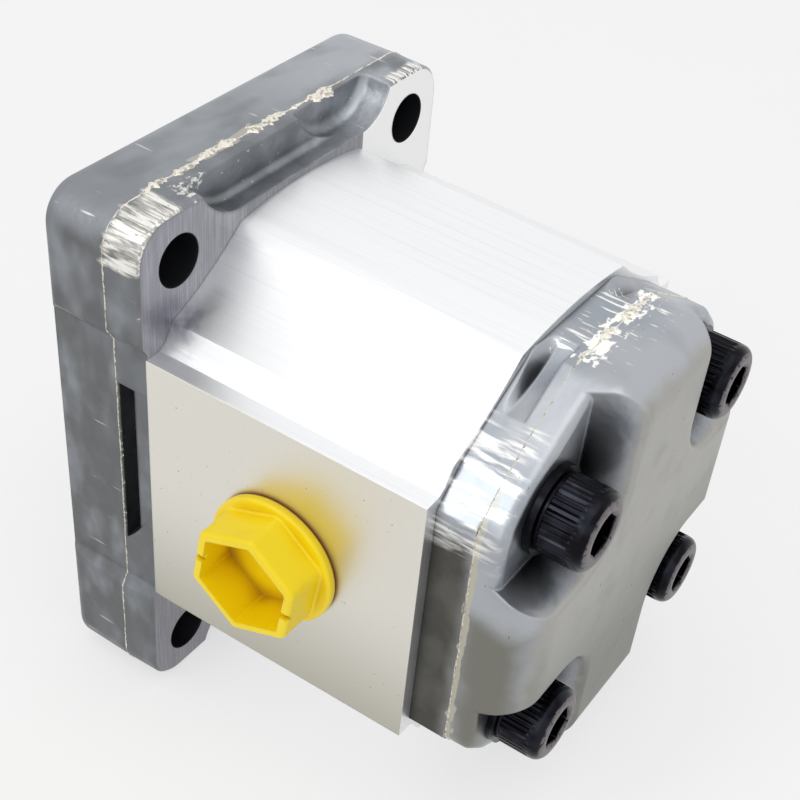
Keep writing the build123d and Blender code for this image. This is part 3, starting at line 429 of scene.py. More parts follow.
@dataclass(frozen=True)
class ExtrudedBody:
    """Extruded aluminium alloy, bright as pressed, with sawn and milled ends and a milled port face.

    To the eye: nearly white satin metal with very fine lines along the extrusion and a blue-grey patch by the flange.
    """

    pressed: str = "#f2f3f4"
    line: str = "#e2e3e6"
    face: str = "#e3e0d8"
    face_low_shade: str = "#b7b4a8"
    speck_and_crevice_shade: str = "#8d8c88"
    blue_grey_patch: str = "#8f929d"
    port_face_x: float = 45.284

    def material(self) -> Material:
        """Makes the body's material.

        Returns:
            The material.
        """
        skin = Skin("extruded_aluminium_body", self.pressed, 0.4, 1.0)
        skin.soften(0.35)
        skin.lay(self.line, 0.44, skin.grains((0.5, 80, 0.5), 2, 1, 0.45, 0.8, 0.5))
        by_ear = skin.zone((33, 20, 49), (48, 28, 60), 2.5, 1.2, 6)
        skin.lay(self.blue_grey_patch, 0.36, by_ear, skin.grains(5, 3, 7, 0.2, 0.65, 0.9))
        port = skin.zone((self.port_face_x - 0.06, 0, -60), (60, 100, 90), 0.03)
        skin.lay(self.face, 0.36, port)
        # Painted shade: the port face darkens towards the bottom.
        skin.lay(self.face_low_shade, 0.38, port, skin.slope(2, 22, -25))
        skin.lay(self.speck_and_crevice_shade, 0.4, port, skin.grains(1.1, 4, 6, 0.7, 0.74, 0.7))
        # Painted shade: narrow gaps and corners of the body are laid darker, in the specks' colour.
        skin.lay(self.speck_and_crevice_shade, 0.5, skin.hollows(1.2, 0.3, 0.6, 0.5))
        skin.lift(skin.grain((0.5, 40, 0.5), 2, 2), 0.008)
        skin.lift(skin.grain(7, 2, 4), 0.04)
        return skin.done()


@dataclass(frozen=True)
class DieCastCover:
    """Die-cast aluminium of the rear cover, tumbled smooth, with filed flash along its parting line.

    To the eye: silvery metal, olive grey on its sides, pale on the end, dark in the scoops, with small nicks.
    """

    skin: str = "#b0b3b8"
    cool: str = "#979ea7"
    front: str = "#4f4e49"
    front_light: str = "#63625d"
    side: str = "#7f7e77"
    pale: str = "#abaaa5"
    low: str = "#7f807a"
    cloud: str = "#8e8e88"
    bright: str = "#fbfaf6"
    flash: str = "#c4bfae"
    nick: str = "#55544f"
    hollow_shade: str = "#141519"
    parting_y: float = 93.0

    def material(self) -> Material:
        """Makes the cover's material.

        Returns:
            The material.
        """
        skin = Skin("die_cast_aluminium_cover", self.skin, 0.34, 1.0)
        skin.soften(0.7)
        skin.lay(self.cool, 0.32, skin.grains((14, 18, 14), 2, 1, 0.42, 0.64, 0.7))
        self._lay_sides(skin)
        end = skin.zone((-60, 106.4, -60), (60, 120, 90), 1.2, 0.8, 6)
        skin.lay(self.pale, 0.4, end)
        # Painted shade: the end face darkens towards the bottom.
        skin.lay(self.low, 0.42, end, skin.slope(2, 28, -12, 0.9))
        skin.lay(self.cloud, 0.42, end, skin.grains(9, 3, 3, 0.48, 0.78, 0.5))
        # Painted shade and some oily dirt: the scoops and other hollows are laid nearly black.
        skin.lay(self.hollow_shade, 0.4, skin.hollows(10, 0.34, 0.76, 0.97))
        self._lay_marks(skin)
        skin.lift(skin.grain(1.4, 3, 2), 0.03)
        skin.lift(skin.grain(9, 2, 4), 0.3)
        return skin.done()

    def _lay_sides(self, skin: Skin) -> None:
        """Lays darker colours on the sides, in front of the parting line and behind it, with painted shade low on the
        rear half's side at +X.

        Args:
            skin: The skin that gets the layers.
        """
        y = self.parting_y
        front = skin.zone((-60, 80, -60), (60, y, 40), 3, 0.8, 6)
        ahead = skin.zone((-60, 80, -90), (60, y, 90), 0.2)
        skin.lay(self.front, 0.42, front, ahead)
        skin.lay(self.front_light, 0.42, front, ahead, skin.grains((7, 9, 11), 3, 4, 0.42, 0.7, 0.8))
        # Painted shade: the lower part of the side at +X, behind the parting line, is laid darker.
        skin.lay(self.side, 0.4, skin.zone((37, y + 0.4, -60), (60, 106, 24), 4, 1.5, 8))
        left = skin.zone((30, y - 0.1, -60), (60, y + 1.2, 52), 0.15, 0.7, (1, 1, 3))
        skin.lay(self.flash, 0.5, left, skin.slope(2, 56, 40, 0.85))

    def _lay_marks(self, skin: Skin) -> None:
        """Lays filed flash, rubbed corners, scratches and nicks.

        Args:
            skin: The skin that gets the layers.
        """
        y = self.parting_y
        blobs = skin.grains((3.5, 2.5, 3.5), 4, 11, 0.44, 0.49)
        filed = skin.zone((-15, y - 1.8, 58), (12, y + 2.4, 90), 0.3, 1.6, (1.8, 1.2, 1.8))
        skin.lay(self.bright, 0.5, filed, blobs)
        strokes = skin.zone((-16, y - 7, 58), (12, y + 7, 90), 0.8, 1.5, 5)
        fine = skin.grains((0.8, 8, 0.8), 3, 2, 0.6, 0.66, 0.9)
        skin.lay(self.bright, 0.4, strokes, fine)
        corner = skin.zone((28, 84, 38), (60, y + 3, 62), 2, 2, (1.5, 9, 1.5))
        rubbed = skin.grains((1.2, 9, 1.2), 4, 14, 0.45, 0.62, 0.75)
        skin.lay(self.bright, 0.34, corner, rubbed)
        skin.lay(self.nick, 0.6, skin.grains((0.9, 0.9, 1.6), 4, 8, 0.72, 0.75, 0.7))


@dataclass(frozen=True)
class FlashMetal:
    """Bare aluminium flash, squeezed between the die halves and broken off, which is pale and crumbly."""

    metal: str = "#ebe7dc"
    shade: str = "#a8a396"

    def material(self) -> Material:
        """Makes the material of the flash.

        Returns:
            The material.
        """
        skin = Skin("broken_aluminium_flash", self.metal, 0.55, 1.0)
        skin.lay(self.shade, 0.6, skin.grains(0.8, 4, 2, 0.5, 0.62, 0.8))
        skin.lift(skin.grain(0.35, 3, 1), 0.08)
        return skin.done()


@dataclass(frozen=True)
class MouldedPolyethylene:
    """Low-density polyethylene of the port plug, moulded, in signal yellow with a waxy sheen."""

    ground: str = "#ffe200"
    deep: str = "#fcdb00"
    inner: str = "#b07800"

    def material(self) -> Material:
        """Makes the plug's material.

        Returns:
            The material.
        """
        skin = Skin("moulded_polyethylene_yellow", self.ground, 0.38, 0.0)
        skin.shader.inputs["IOR"].default_value = 1.51
        skin.soften(0.35)
        skin.lay(self.deep, 0.44, skin.grains(6, 3, 1, 0.4, 0.7, 0.6))
        # Painted shade: the inside of the hex cup is laid deep orange-brown.
        skin.lay(self.inner, 0.5, skin.hollows(8, 0.28, 0.68, 0.95))
        skin.lift(skin.grain(0.6, 2, 2), 0.01)
        return skin.done()


@dataclass(frozen=True)
class BlackOxideSteel:
    """Quenched steel blackened in hot salts and oiled: blue-black and glossy, grey where the head's end is rubbed."""

    ground: str = "#1a1a1e"
    worn: str = "#2a2c33"
    rubbed: str = "#7b7577"
    head_end_y: float = 110.1

    def material(self) -> Material:
        """Makes the material of the screws and washers.

        Returns:
            The material.
        """
        skin = Skin("black_oxide_steel", self.ground, 0.24, 1.0)
        skin.lay(self.worn, 0.28, skin.grains(5, 2, 1, 0.45, 0.65, 0.8))
        end = skin.zone((-60, self.head_end_y - 0.35, -60), (60, 120, 90), 0.15, 0.15, 1.5)
        skin.lay(self.rubbed, 0.42, end, skin.grains(0.9, 4, 5, 0.34, 0.46, 0.9))
        skin.lift(skin.grain(0.6, 3, 2), 0.008)
        return skin.done()


@dataclass(frozen=True)
class PlainFinish:
    """A finish with one pattern: a ground colour and a second colour laid over it in grains."""

    name: str
    ground: str
    grain_colour: str
    roughness: float
    metallic: float
    grain: float | Triple
    relief: float
    ior: float | None = None

    def material(self) -> Material:
        """Makes the material.

        Returns:
            The material.
        """
        skin = Skin(self.name, self.ground, self.roughness, self.metallic)
        if self.ior is not None:
            skin.shader.inputs["IOR"].default_value = self.ior
        pattern = skin.grain(self.grain, 3, 1)
        skin.lay(self.grain_colour, self.roughness * 1.2, skin.above(pattern, 0.42, 0.68, 0.8))
        skin.lift(pattern, self.relief)
        return skin.done()


def make_finishes() -> dict[Slot, Material]:
    """Makes one material for each slot of the record.

    Returns:
        The materials, by slot.
    """
    recipes = {
        Slot.CAST_FLANGE: DieCastFlange(),
        Slot.EXTRUDED_BODY: ExtrudedBody(),
        Slot.CAST_COVER: DieCastCover(),
        Slot.BLACK_STEEL: BlackOxideSteel(),
        Slot.YELLOW_PLASTIC: MouldedPolyethylene(),
        # Case-hardened steel, ground round: bright, with faint rings that the wheel left across the axis.
        Slot.GEAR_STEEL: PlainFinish(
            "ground_case_hardened_steel", "#b3b4b6", "#8f9194", 0.22, 1.0, (8, 0.3, 8), 0.004
        ),
        # Cast aluminium bearing alloy, turned and milled: satin and pale grey.
        Slot.BLOCK_ALLOY: PlainFinish("milled_bearing_alloy", "#b9bbbd", "#9c9ea1", 0.34, 1.0, (0.4, 6, 6), 0.006),
        # Lead-free bearing bronze on a steel back, rolled: warm brown satin.
        Slot.BUSH_BRONZE: PlainFinish("rolled_bearing_bronze", "#b98a54", "#8e6639", 0.36, 1.0, (5, 0.6, 5), 0.005),
        # Nitrile rubber, compression-moulded: matt black.
        Slot.SEAL_RUBBER: PlainFinish("moulded_nitrile_rubber", "#191919", "#242423", 0.62, 0.0, 1.5, 0.01, 1.52),
        # Nylon strip, cut from sheet: milky and smooth.
        Slot.BACKUP_PLASTIC: PlainFinish("cut_nylon", "#e0dac6", "#cfc7ae", 0.42, 0.0, 3.0, 0.01, 1.53),
        # Nitrile rubber of the shaft seal's lip, trimmed: brownish black, slightly oily.
        Slot.LIP_RUBBER: PlainFinish("trimmed_nitrile_rubber", "#221d1b", "#2f2926", 0.42, 0.0, 1.0, 0.01, 1.52),
        # Phosphated spring steel: dull dark grey with a crystalline bloom.
        Slot.SPRING_STEEL: PlainFinish("phosphated_spring_steel", "#4d4e50", "#66686a", 0.5, 1.0, 0.8, 0.01),
    }
    return {slot: recipe.material() for slot, recipe in recipes.items()}


@dataclass
class Workshop:
    """Turns meshes into pieces of the object, each on its body and with its finish.
    """

    frame: dict
    finishes: dict[Slot, Material]

    def add(
        self,
        name: str,
        mesh: BMesh,
        body: Body,
        slot: Slot,
        stands_for: Iterable[str] = (),
        *,
        sharp: float,
        material: Material | None = None,
    ) -> None:
        """Makes a finished piece from a mesh in millimetres.

        Args:
            name: The piece's name.
            mesh: Its shape in the part's frame, in millimetres. It is freed.
            body: The body it rides on.
            slot: The record's slot it takes its finish from.
            stands_for: CAD nodes that it replaces.
            sharp: Angle in degrees from which an edge stays sharp.
            material: Its material, where that isn't the slot's own.
        """
        bmesh.ops.transform(mesh, matrix=Matrix.Scale(MM, 4), verts=mesh.verts)
        bmesh.ops.recalc_face_normals(mesh, faces=mesh.faces)
        data = bpy.data.meshes.new(name)
        mesh.to_mesh(data)
        mesh.free()
        data.shade_smooth()
        data.set_sharp_from_angle(angle=radians(sharp))
        data.materials.append(material or self.finishes[slot])
        piece = bpy.data.objects.new(name, data)
        bpy.context.scene.collection.objects.link(piece)
        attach(piece, body.value)
        if stands_for:
            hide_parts(*stands_for)
        LOG.info("%s: %d faces on %s", name, len(data.polygons), body.value)

    def dress(self) -> None:
        """Gives each CAD node the material of its slot."""
        for row in self.frame["record"]["subparts"]:
            node = self.frame["nodes"][row["node"]]
            node.data.materials.clear()
            node.data.materials.append(self.finishes[Slot(row["material_slot"])])
            LOG.info("%s: %s", row["node"], row["material_slot"])

    def copy(self, node: str) -> BMesh:
        """Copies a CAD node's mesh into millimetres, with its loose triangles merged.

        Args:
            node: The CAD node's name.

        Returns:
            The merged copy.
        """
        mesh = bmesh.new()
        mesh.from_mesh(self.frame["nodes"][node].data)
        bmesh.ops.transform(mesh, matrix=Matrix.Scale(1 / MM, 4), verts=mesh.verts)
        bmesh.ops.remove_doubles(mesh, verts=mesh.verts, dist=WELD)
        return mesh


def cut_across(mesh: BMesh, y: float, keep_rear: bool) -> list[BMEdge]:
    """Cuts a mesh across the Y axis and takes away what isn't kept.

    Args:
        mesh: The mesh, in millimetres.
        y: Where the cut is.
        keep_rear: Whether what lies behind the cut, at the larger Y, stays.

    Returns:
        The edges that lie in the cut.
    """
    cut = bmesh.ops.bisect_plane(
        mesh,
        geom=list(mesh.verts) + list(mesh.edges) + list(mesh.faces),
        dist=CUT,
        plane_co=(0, y, 0),
        plane_no=(0, 1, 0),
        clear_inner=True,
        clear_outer=not keep_rear,
    )
    return [part for part in cut["geom_cut"] if isinstance(part, BMEdge)]


def grow_ring(mesh: BMesh, edges: list[BMEdge]) -> tuple[list[BMEdge], list[BMVert]]:
    """Extrudes a closed loop of edges in place.

    Args:
        mesh: The mesh that holds the loop.
        edges: The loop's edges.

    Returns:
        The new loop's edges and vertices, still in the old loop's place.
    """
    grown = bmesh.ops.extrude_edge_only(mesh, edges=edges)["geom"]
    ring = [part for part in grown if isinstance(part, BMVert)]
    fresh = set(ring)
    return [part for part in grown if isinstance(part, BMEdge) and set(part.verts) <= fresh], ring


def turned(profiles: Sequence[Profile], sides: int) -> BMesh:
    """Builds a closed solid round the Z axis from rings, each one extruded from the last.

    Args:
        profiles: For each ring, a function from an angle to a radius and a height.
        sides: Vertices in each ring.

    Returns:
        The solid, in millimetres.
    """
    mesh = bmesh.new()
    bmesh.ops.create_circle(mesh, cap_ends=False, radius=1.0, segments=sides)
    ring, edges = list(mesh.verts), list(mesh.edges)
    ends = [edges]
    for step, profile in enumerate(profiles):
        if step:
            edges, ring = grow_ring(mesh, edges)
        for vertex in ring:
            angle = atan2(vertex.co.y, vertex.co.x)
            radius, height = profile(angle)
            vertex.co = Vector((radius * cos(angle), radius * sin(angle), height))
    ends.append(edges)
    for loop in ends:
        bmesh.ops.edgeloop_fill(mesh, edges=loop)
    return mesh


def round_at(radius: float, height: float) -> Profile:
    """Gives a plain round ring of a radius at a height."""
    return lambda angle: (radius, height)


def hexagon_at(across_flats: float, height: float) -> Profile:
    """Gives a hexagonal ring of a width across the flats at a height."""
    return lambda angle: (across_flats / 2 / cos(angle % (tau / 6) - tau / 12), height)


def add_thread(mesh: BMesh, crest_r: float, pitch: float, start: float, length: float) -> None:
    """Adds a closed helical ridge round the Z axis, sunk a little into the core under it.

    Args:
        mesh: The mesh, in millimetres, that gets the ridge.
        crest_r: Radius of the ridge's crest.
        pitch: Rise of one turn.
        start: Height of the crest where the ridge starts.
        length: Height that whole turns of the ridge fit in.
    """
    sunk, steps_per_turn = 0.2, 24
    root = crest_r - THREAD_DEPTH * pitch - sunk
    # A little under half the pitch, so that neighbouring turns of the ridge don't touch.
    half = 0.44 * pitch
    section = [
        mesh.verts.new((root, 0, start - half)),
        mesh.verts.new((crest_r, 0, start)),
        mesh.verts.new((root, 0, start + half)),
    ]
    known = set(mesh.verts) - set(section)
    edges = [mesh.edges.new((section[i], section[(i + 1) % 3])) for i in range(3)]
    turns = int(length / pitch)
    bmesh.ops.spin(
        mesh,
        geom=section + edges,
        cent=(0, 0, 0),
        axis=(0, 0, 1),
        dvec=(0, 0, pitch / steps_per_turn),
        angle=tau * turns,
        steps=steps_per_turn * turns,
        use_duplicate=False,
    )
    rims = [e for e in mesh.edges if e.is_boundary and e.verts[0] not in known]
    bmesh.ops.holes_fill(mesh, edges=rims, sides=3)


@dataclass
class CapScrews:
    """Four M10 socket head cap screws that clamp cover, body and flange."""

    column_x: float = 27.284
    low_z: float = -9.769
    high_z: float = 42.769
    seat_y: float = 100.1
    head_r: float = 8.0
    head_height: float = 10.0
    socket_width: float = 8.0
    socket_depth: float = 5.5
    drill_r: float = 0.4
    drill_depth: float = 1.6
    shank_r: float = 5.0
    length: float = 95.0
    point_inset: float = 0.6
    pitch: float = 1.5
    thread_length: float = 32.0
    thread_start: float = 1.4
    thread_spare: float = 3.5
    crest_inset: float = 0.05
    core_inset: float = 0.1
    runout: float = 0.8
    collar_inset: float = 0.3
    collar_bevel: float = 0.25
    collar_height: float = 0.75
    ribs: int = 42
    rib_depth: float = 0.3
    rib_start: float = 1.0
    rib_end: float = 6.4
    rib_runout: float = 0.9
    shoulder_r: float = 2.2
    shoulder_inset: float = 0.04
    shoulder_steps: int = 8

    def build(self, shop: Workshop) -> None:
        """Builds the four screws, each turned a little about its own axis.

        Args:
            shop: Makes and dresses the pieces.
        """
        places = (
            ("upper_right", self.column_x, self.high_z, 12.0),
            ("lower_right", self.column_x, self.low_z, 41.0),
            ("upper_left", -self.column_x, self.high_z, 25.0),
            ("lower_left", -self.column_x, self.low_z, 3.0),
        )
        for name, x, z, turn in places:
            mesh = self._screw()
            crest, start = self.shank_r - self.crest_inset, self.thread_start - self.length
            add_thread(mesh, crest, self.pitch, start, self.thread_length - self.thread_spare)
            place = Matrix.Translation((x, self.seat_y, z)) @ Matrix.Rotation(radians(-90), 4, "X")
            bmesh.ops.transform(mesh, matrix=place @ Matrix.Rotation(radians(turn), 4, "Z"), verts=mesh.verts)
            shop.add(f"cap_screw_{name}", mesh, Body.HOUSING, Slot.BLACK_STEEL, ["cap_screws"], sharp=28.0)

    def _knurl(self, height: float, depth: float) -> Profile:
        """Gives a knurled ring at a height, its grooves cut to a depth."""
        return lambda angle: (self.head_r - depth * ((angle / tau * self.ribs) % 1.0 >= 0.5), height)

    def _screw(self) -> BMesh:
        """Makes head, socket and shank as one closed solid that points up Z from its seat.

        Returns:
            The solid, in millimetres.
        """
        top, tip = self.head_height, -self.length
        crest = self.shank_r - self.crest_inset
        core = self.shank_r - self.core_inset - THREAD_DEPTH * self.pitch
        collar = self.head_r - self.collar_inset
        shoulder = self.head_r - self.shoulder_inset
        rings: list[Profile] = [
            round_at(self.shank_r - self.point_inset, tip),
            round_at(core, tip + self.runout),
            round_at(core, tip + self.thread_length),
            round_at(crest, tip + self.thread_length + self.runout),
            round_at(crest, 0.0),
            round_at(collar - self.collar_bevel, 0.0),
            round_at(collar, 0.6 * self.collar_bevel),
            round_at(collar, self.collar_height),
            self._knurl(self.rib_start, self.rib_depth),
            self._knurl(self.rib_end, self.rib_depth),
            self._knurl(self.rib_end + self.rib_runout, self.rib_depth / 4),
            round_at(shoulder, top - self.shoulder_r),
        ]
        for step in range(1, self.shoulder_steps + 1):
            angle = step / self.shoulder_steps * pi / 2
            drop = self.shoulder_r * (1 - sin(angle))
            rings.append(round_at(shoulder - self.shoulder_r * (1 - cos(angle)), top - drop))
        corner, floor = self.socket_width / sqrt(3), top - self.socket_depth
        # The socket's mouth is a short cone, and its floor is where the drill ran out.
        rings += [
            round_at(corner + 0.3, top),
            round_at(corner + 0.1, top - 0.15),
            hexagon_at(self.socket_width, top - 0.55),
            hexagon_at(self.socket_width, floor),
            round_at(self.drill_r, floor - self.drill_depth),
        ]
        return turned(rings, 4 * self.ribs)


@dataclass
class ShaftEnd:
    """The threaded end of the drive shaft, M12 x 1.5, where the coupling's nut goes on."""

    node: str = "drive_gear"
    thread_r: float = 6.0
    pitch: float = 1.5
    start_y: float = -37.3
    length: float = 8.9
    relief_r: float = 5.08
    relief_y: float = -27.0
    end_y: float = -38.5
    point: float = 0.6
    overlap: float = 0.6
    sides: int = 64

    def build(self, shop: Workshop) -> None:
        """Cuts the plain end off a copy of the shaft and puts a threaded one in its place.

        Args:
            shop: Makes and dresses the piece.
        """
        mesh = shop.copy(self.node)
        cut_y = self.relief_y + self.overlap
        bmesh.ops.edgeloop_fill(mesh, edges=cut_across(mesh, cut_y, keep_rear=True))
        end = self._threaded_end(cut_y + self.overlap)
        bmesh.ops.transform(end, matrix=Matrix.Rotation(radians(-90), 4, "X"), verts=end.verts)
        spare = bpy.data.meshes.new("threaded_end")
        end.to_mesh(spare)
        end.free()
        mesh.from_mesh(spare)
        bpy.data.meshes.remove(spare)
        shop.add("drive_shaft_threaded", mesh, Body.DRIVE_SHAFT, Slot.GEAR_STEEL, [self.node], sharp=30.0)

    def _threaded_end(self, top: float) -> BMesh:
        """Makes core and ridge of the thread as closed solids that stand on the Z axis.

        Args:
            top: How high the core reaches up into the shaft.

        Returns:
            The solids, in millimetres.
        """
        core = self.thread_r - THREAD_DEPTH * self.pitch
        rings = [
            round_at(core - self.point, self.end_y),
            round_at(core, self.end_y + self.point),
            round_at(core, self.relief_y),
            round_at(self.relief_r, self.relief_y + 0.1),
            round_at(self.relief_r, top),
        ]
        mesh = turned(rings, self.sides)
        add_thread(mesh, self.thread_r, self.pitch, self.start_y, self.length)
        return mesh


@dataclass
class ThreadedPorts:
    """The body's two G 1/2 ports, whose plain bores get the grooves of their threads."""

    node: str = "gear_body"
    face_x: float = 45.284
    centre_y: float = 53.85
    centre_z: float = 16.5
    bore_r: float = 9.3
    chamfer: float = 0.8
    depth: float = 16.0
    pitch: float = 1.814
    groove: float = 1.162
    runout: float = 1.5
    rings_per_pitch: int = 6
    slack: float = 0.02

    def build(self, shop: Workshop) -> None:
        """Builds the body anew with threaded ports.

        Args:
            shop: Makes and dresses the piece.
        """
        mesh = shop.copy(self.node)
        for side in (1.0, -1.0):
            self._cut_thread(mesh, side)
        shop.add("gear_body_threaded", mesh, Body.HOUSING, Slot.EXTRUDED_BODY, [self.node], sharp=11.0)

    def _cut_thread(self, mesh: BMesh, side: float) -> None:
        """Swaps the plain wall of one port for rings whose radius follows the thread.

        Args:
            mesh: The body's mesh, in millimetres.
            side: 1 for the port at +X and -1 for the one at -X.
        """
        wall = [f for f in mesh.faces if all(self._on_wall(v, side) for v in f.verts)]
        bmesh.ops.delete(mesh, geom=wall, context="FACES")
        rims = [e for e in mesh.edges if e.is_boundary and all(self._on_wall(v, side) for v in e.verts)]
        middle = self.face_x - self.depth / 2
        edges = [e for e in rims if abs(e.verts[0].co.x) > middle]
        inner = [e for e in rims if abs(e.verts[0].co.x) < middle]
        steps = int((self.depth - self.chamfer) / self.pitch * self.rings_per_pitch)
        for step in range(1, steps):
            edges, ring = grow_ring(mesh, edges)
            depth = self.chamfer + step / steps * (self.depth - self.chamfer)
            for vertex in ring:
                vertex.co = self._groove_point(vertex.co, side, depth)
        bmesh.ops.bridge_loops(mesh, edges=edges + inner)

    def _on_wall(self, vertex: BMVert, side: float) -> bool:
        """Tells whether a vertex lies on the plain wall of a port.

        Args:
            vertex: The vertex.
            side: 1 for the port at +X and -1 for the one at -X.

        Returns:
            Whether it does.
        """
        across = Vector((vertex.co.y - self.centre_y, vertex.co.z - self.centre_z)).length
        deep = self.face_x - side * vertex.co.x
        return abs(across - self.bore_r) < self.slack and self.chamfer - self.slack < deep < self.depth + self.slack

    def _groove_point(self, place: Vector, side: float, depth: float) -> Vector:
        """Moves a point of the wall to a depth and out to the thread's flank there.

        Args:
            place: The point.
            side: 1 for the port at +X and -1 for the one at -X.
            depth: The new point's depth under the port's face.

        Returns:
            The new point.
        """
        angle = atan2(place.z - self.centre_z, place.y - self.centre_y)
        turn = (depth / self.pitch - side * angle / tau) % 1.0
        fade = min(1.0, (depth - self.chamfer) / self.pitch, (self.depth - self.runout - depth) / self.pitch)
        reach = self.bore_r + self.groove * (1 - abs(2 * turn - 1)) * max(0.0, fade)
        return Vector(
            (side * (self.face_x - depth), self.centre_y + reach * cos(angle), self.centre_z + reach * sin(angle))
        )


def walk(edges: Iterable[BMEdge]) -> list[list[Vector]]:
    """Orders loose edges into closed loops.

    Args:
        edges: Edges that form closed loops.

    Returns:
        The loops, each as points in order.
    """
    left = set(edges)
    loops: list[list[Vector]] = []
    while left:
        edge = min(left, key=lambda e: tuple(e.verts[0].co))
        start = vertex = edge.verts[0]
        loop: list[Vector] = []
        while edge is not None:
            left.discard(edge)
            loop.append(vertex.co.copy())
            vertex = edge.other_vert(vertex)
            edge = next((e for e in vertex.link_edges if e in left), None)
        if vertex is start and len(loop) > 2:
            loops.append(loop)
    return loops


@dataclass
class PartingFlash:
    """The thin ridge that the die halves leave round a casting, crumbled where it was broken off by hand.

    Two corners, low and high, bound the crumbled part.
    """

    name: str
    node: str
    slot: Slot
    parting_y: float
    cut_y: float
    crumbled: tuple[tuple[float, float], tuple[float, float]]
    width: float = 0.7
    height: float = 0.2
    crumb: float = 2.4
    step: float = 0.32
    closest: float = 0.4
    root: float = 0.25
    fade: float = 3.0
    seed: float = 0.0

    def build(self, shop: Workshop, metal: Material) -> None:
        """Builds the ridge along the casting's outline.

        Args:
            shop: Makes and dresses the piece.
            metal: The material of the flash.
        """
        points = self._spread(self._outline(shop.copy(self.node)))
        outward = self._outward(points)
        mesh = bmesh.new()
        tag = mesh.verts.layers.int.new("place")
        bmesh.ops.create_circle(mesh, cap_ends=False, radius=1.0, segments=len(points))
        for i, vertex in enumerate(mesh.verts):
            vertex[tag] = i
        edges, ring = list(mesh.edges), list(mesh.verts)
        rings = []
        for turn in range(3):
            if turn:
                edges, ring = grow_ring(mesh, edges)
            rings.append(edges)
            for vertex in ring:
                i = vertex[tag]
                vertex.co = self._point(points[i], outward[i], turn)
        bmesh.ops.bridge_loops(mesh, edges=rings[0] + rings[-1])
        shop.add(self.name, mesh, Body.HOUSING, self.slot, material=metal, sharp=60.0)

    def _outline(self, mesh: BMesh) -> list[Vector]:
        """Cuts the casting beside its parting line.

        Args:
            mesh: A copy of the casting's mesh. It is freed.

        Returns:
            The outer loop of the cut.
        """
        loops = walk(cut_across(mesh, self.cut_y, keep_rear=False))
        mesh.free()
        return max(loops, key=lambda loop: max(p.x for p in loop) - min(p.x for p in loop))

    def _spread(self, outline: list[Vector]) -> list[Vector]:
        """Puts points along the outline at even steps.

        Args:
            outline: The outline's corners, in order.

        Returns:
            The points, in order.
        """
        points = []
        for a, b in zip(outline, outline[1:] + outline[:1]):
            pieces = max(1, round((b - a).length / self.step))
            points += [a.lerp(b, k / pieces) for k in range(pieces)]
        kept = [points[0]]
        for point in points[1:]:
            if (point - kept[-1]).length > self.closest * self.step:
                kept.append(point)
        return kept

    def _outward(self, points: list[Vector]) -> list[Vector]:
        """Finds the direction away from the casting at each point.

        Args:
            points: Points round the casting, in order.

        Returns:
            The directions.
        """
        count = len(points)
        area = sum(points[i - 1].x * points[i].z - points[i].x * points[i - 1].z for i in range(count))
        side = 1.0 if area > 0 else -1.0
        result = []
        for i in range(count):
            along = (points[(i + 1) % count] - points[i - 1]).normalized()
            result.append(Vector((along.z, 0, -along.x)) * side)
        return result

    def _noise(self, base: Vector, size: float, shift: float = 0.0) -> float:
        """Gives smooth noise between -1 and 1 whose lumps have a size in millimetres."""
        return noise.noise(Vector((base.x / size, base.z / size, self.seed + shift)))

    def _point(self, base: Vector, outward: Vector, turn: int) -> Vector:
        """Places one corner of the ridge's triangular section.

        Args:
            base: Point of the casting's outline.
            outward: Direction away from the casting there.
            turn: The corner: 0 in front, 1 at the crest and 2 behind.

        Returns:
            The corner's place.
        """
        low, high = self.crumbled
        inside = min(base.x - low[0], high[0] - base.x, base.z - low[1], high[1] - base.z)
        wander, fray = self._noise(base, 6.0), self._noise(base, 0.9, 5.0)
        lump = self._noise(base, 4.5, 9.0) + 0.25
        # How crumbled the ridge is here, from 0 to 1. The numbers under it are shares and millimetres by which
        # fray, wander and crumbs thicken, lift and shift the ridge.
        heavy = min(1.0, max(0.0, inside / self.fade)) * min(1.0, max(0.0, 2.2 * lump))
        height = max(0.05, self.height * (0.8 + 0.8 * fray) + 0.25 * heavy)
        centre = self.parting_y + 0.18 * wander + 0.1 * fray + heavy * (0.5 * wander - 0.3)
        half = self.width / 2 * (0.9 + 0.5 * fray) + self.crumb / 2 * heavy * (1 + 0.9 * fray)
        shift = (-half, 0.3 * half * fray, half)[turn]
        reach = (-self.root, height, -self.root)[turn]
        return Vector((base.x, centre + shift, base.z)) + outward * reach


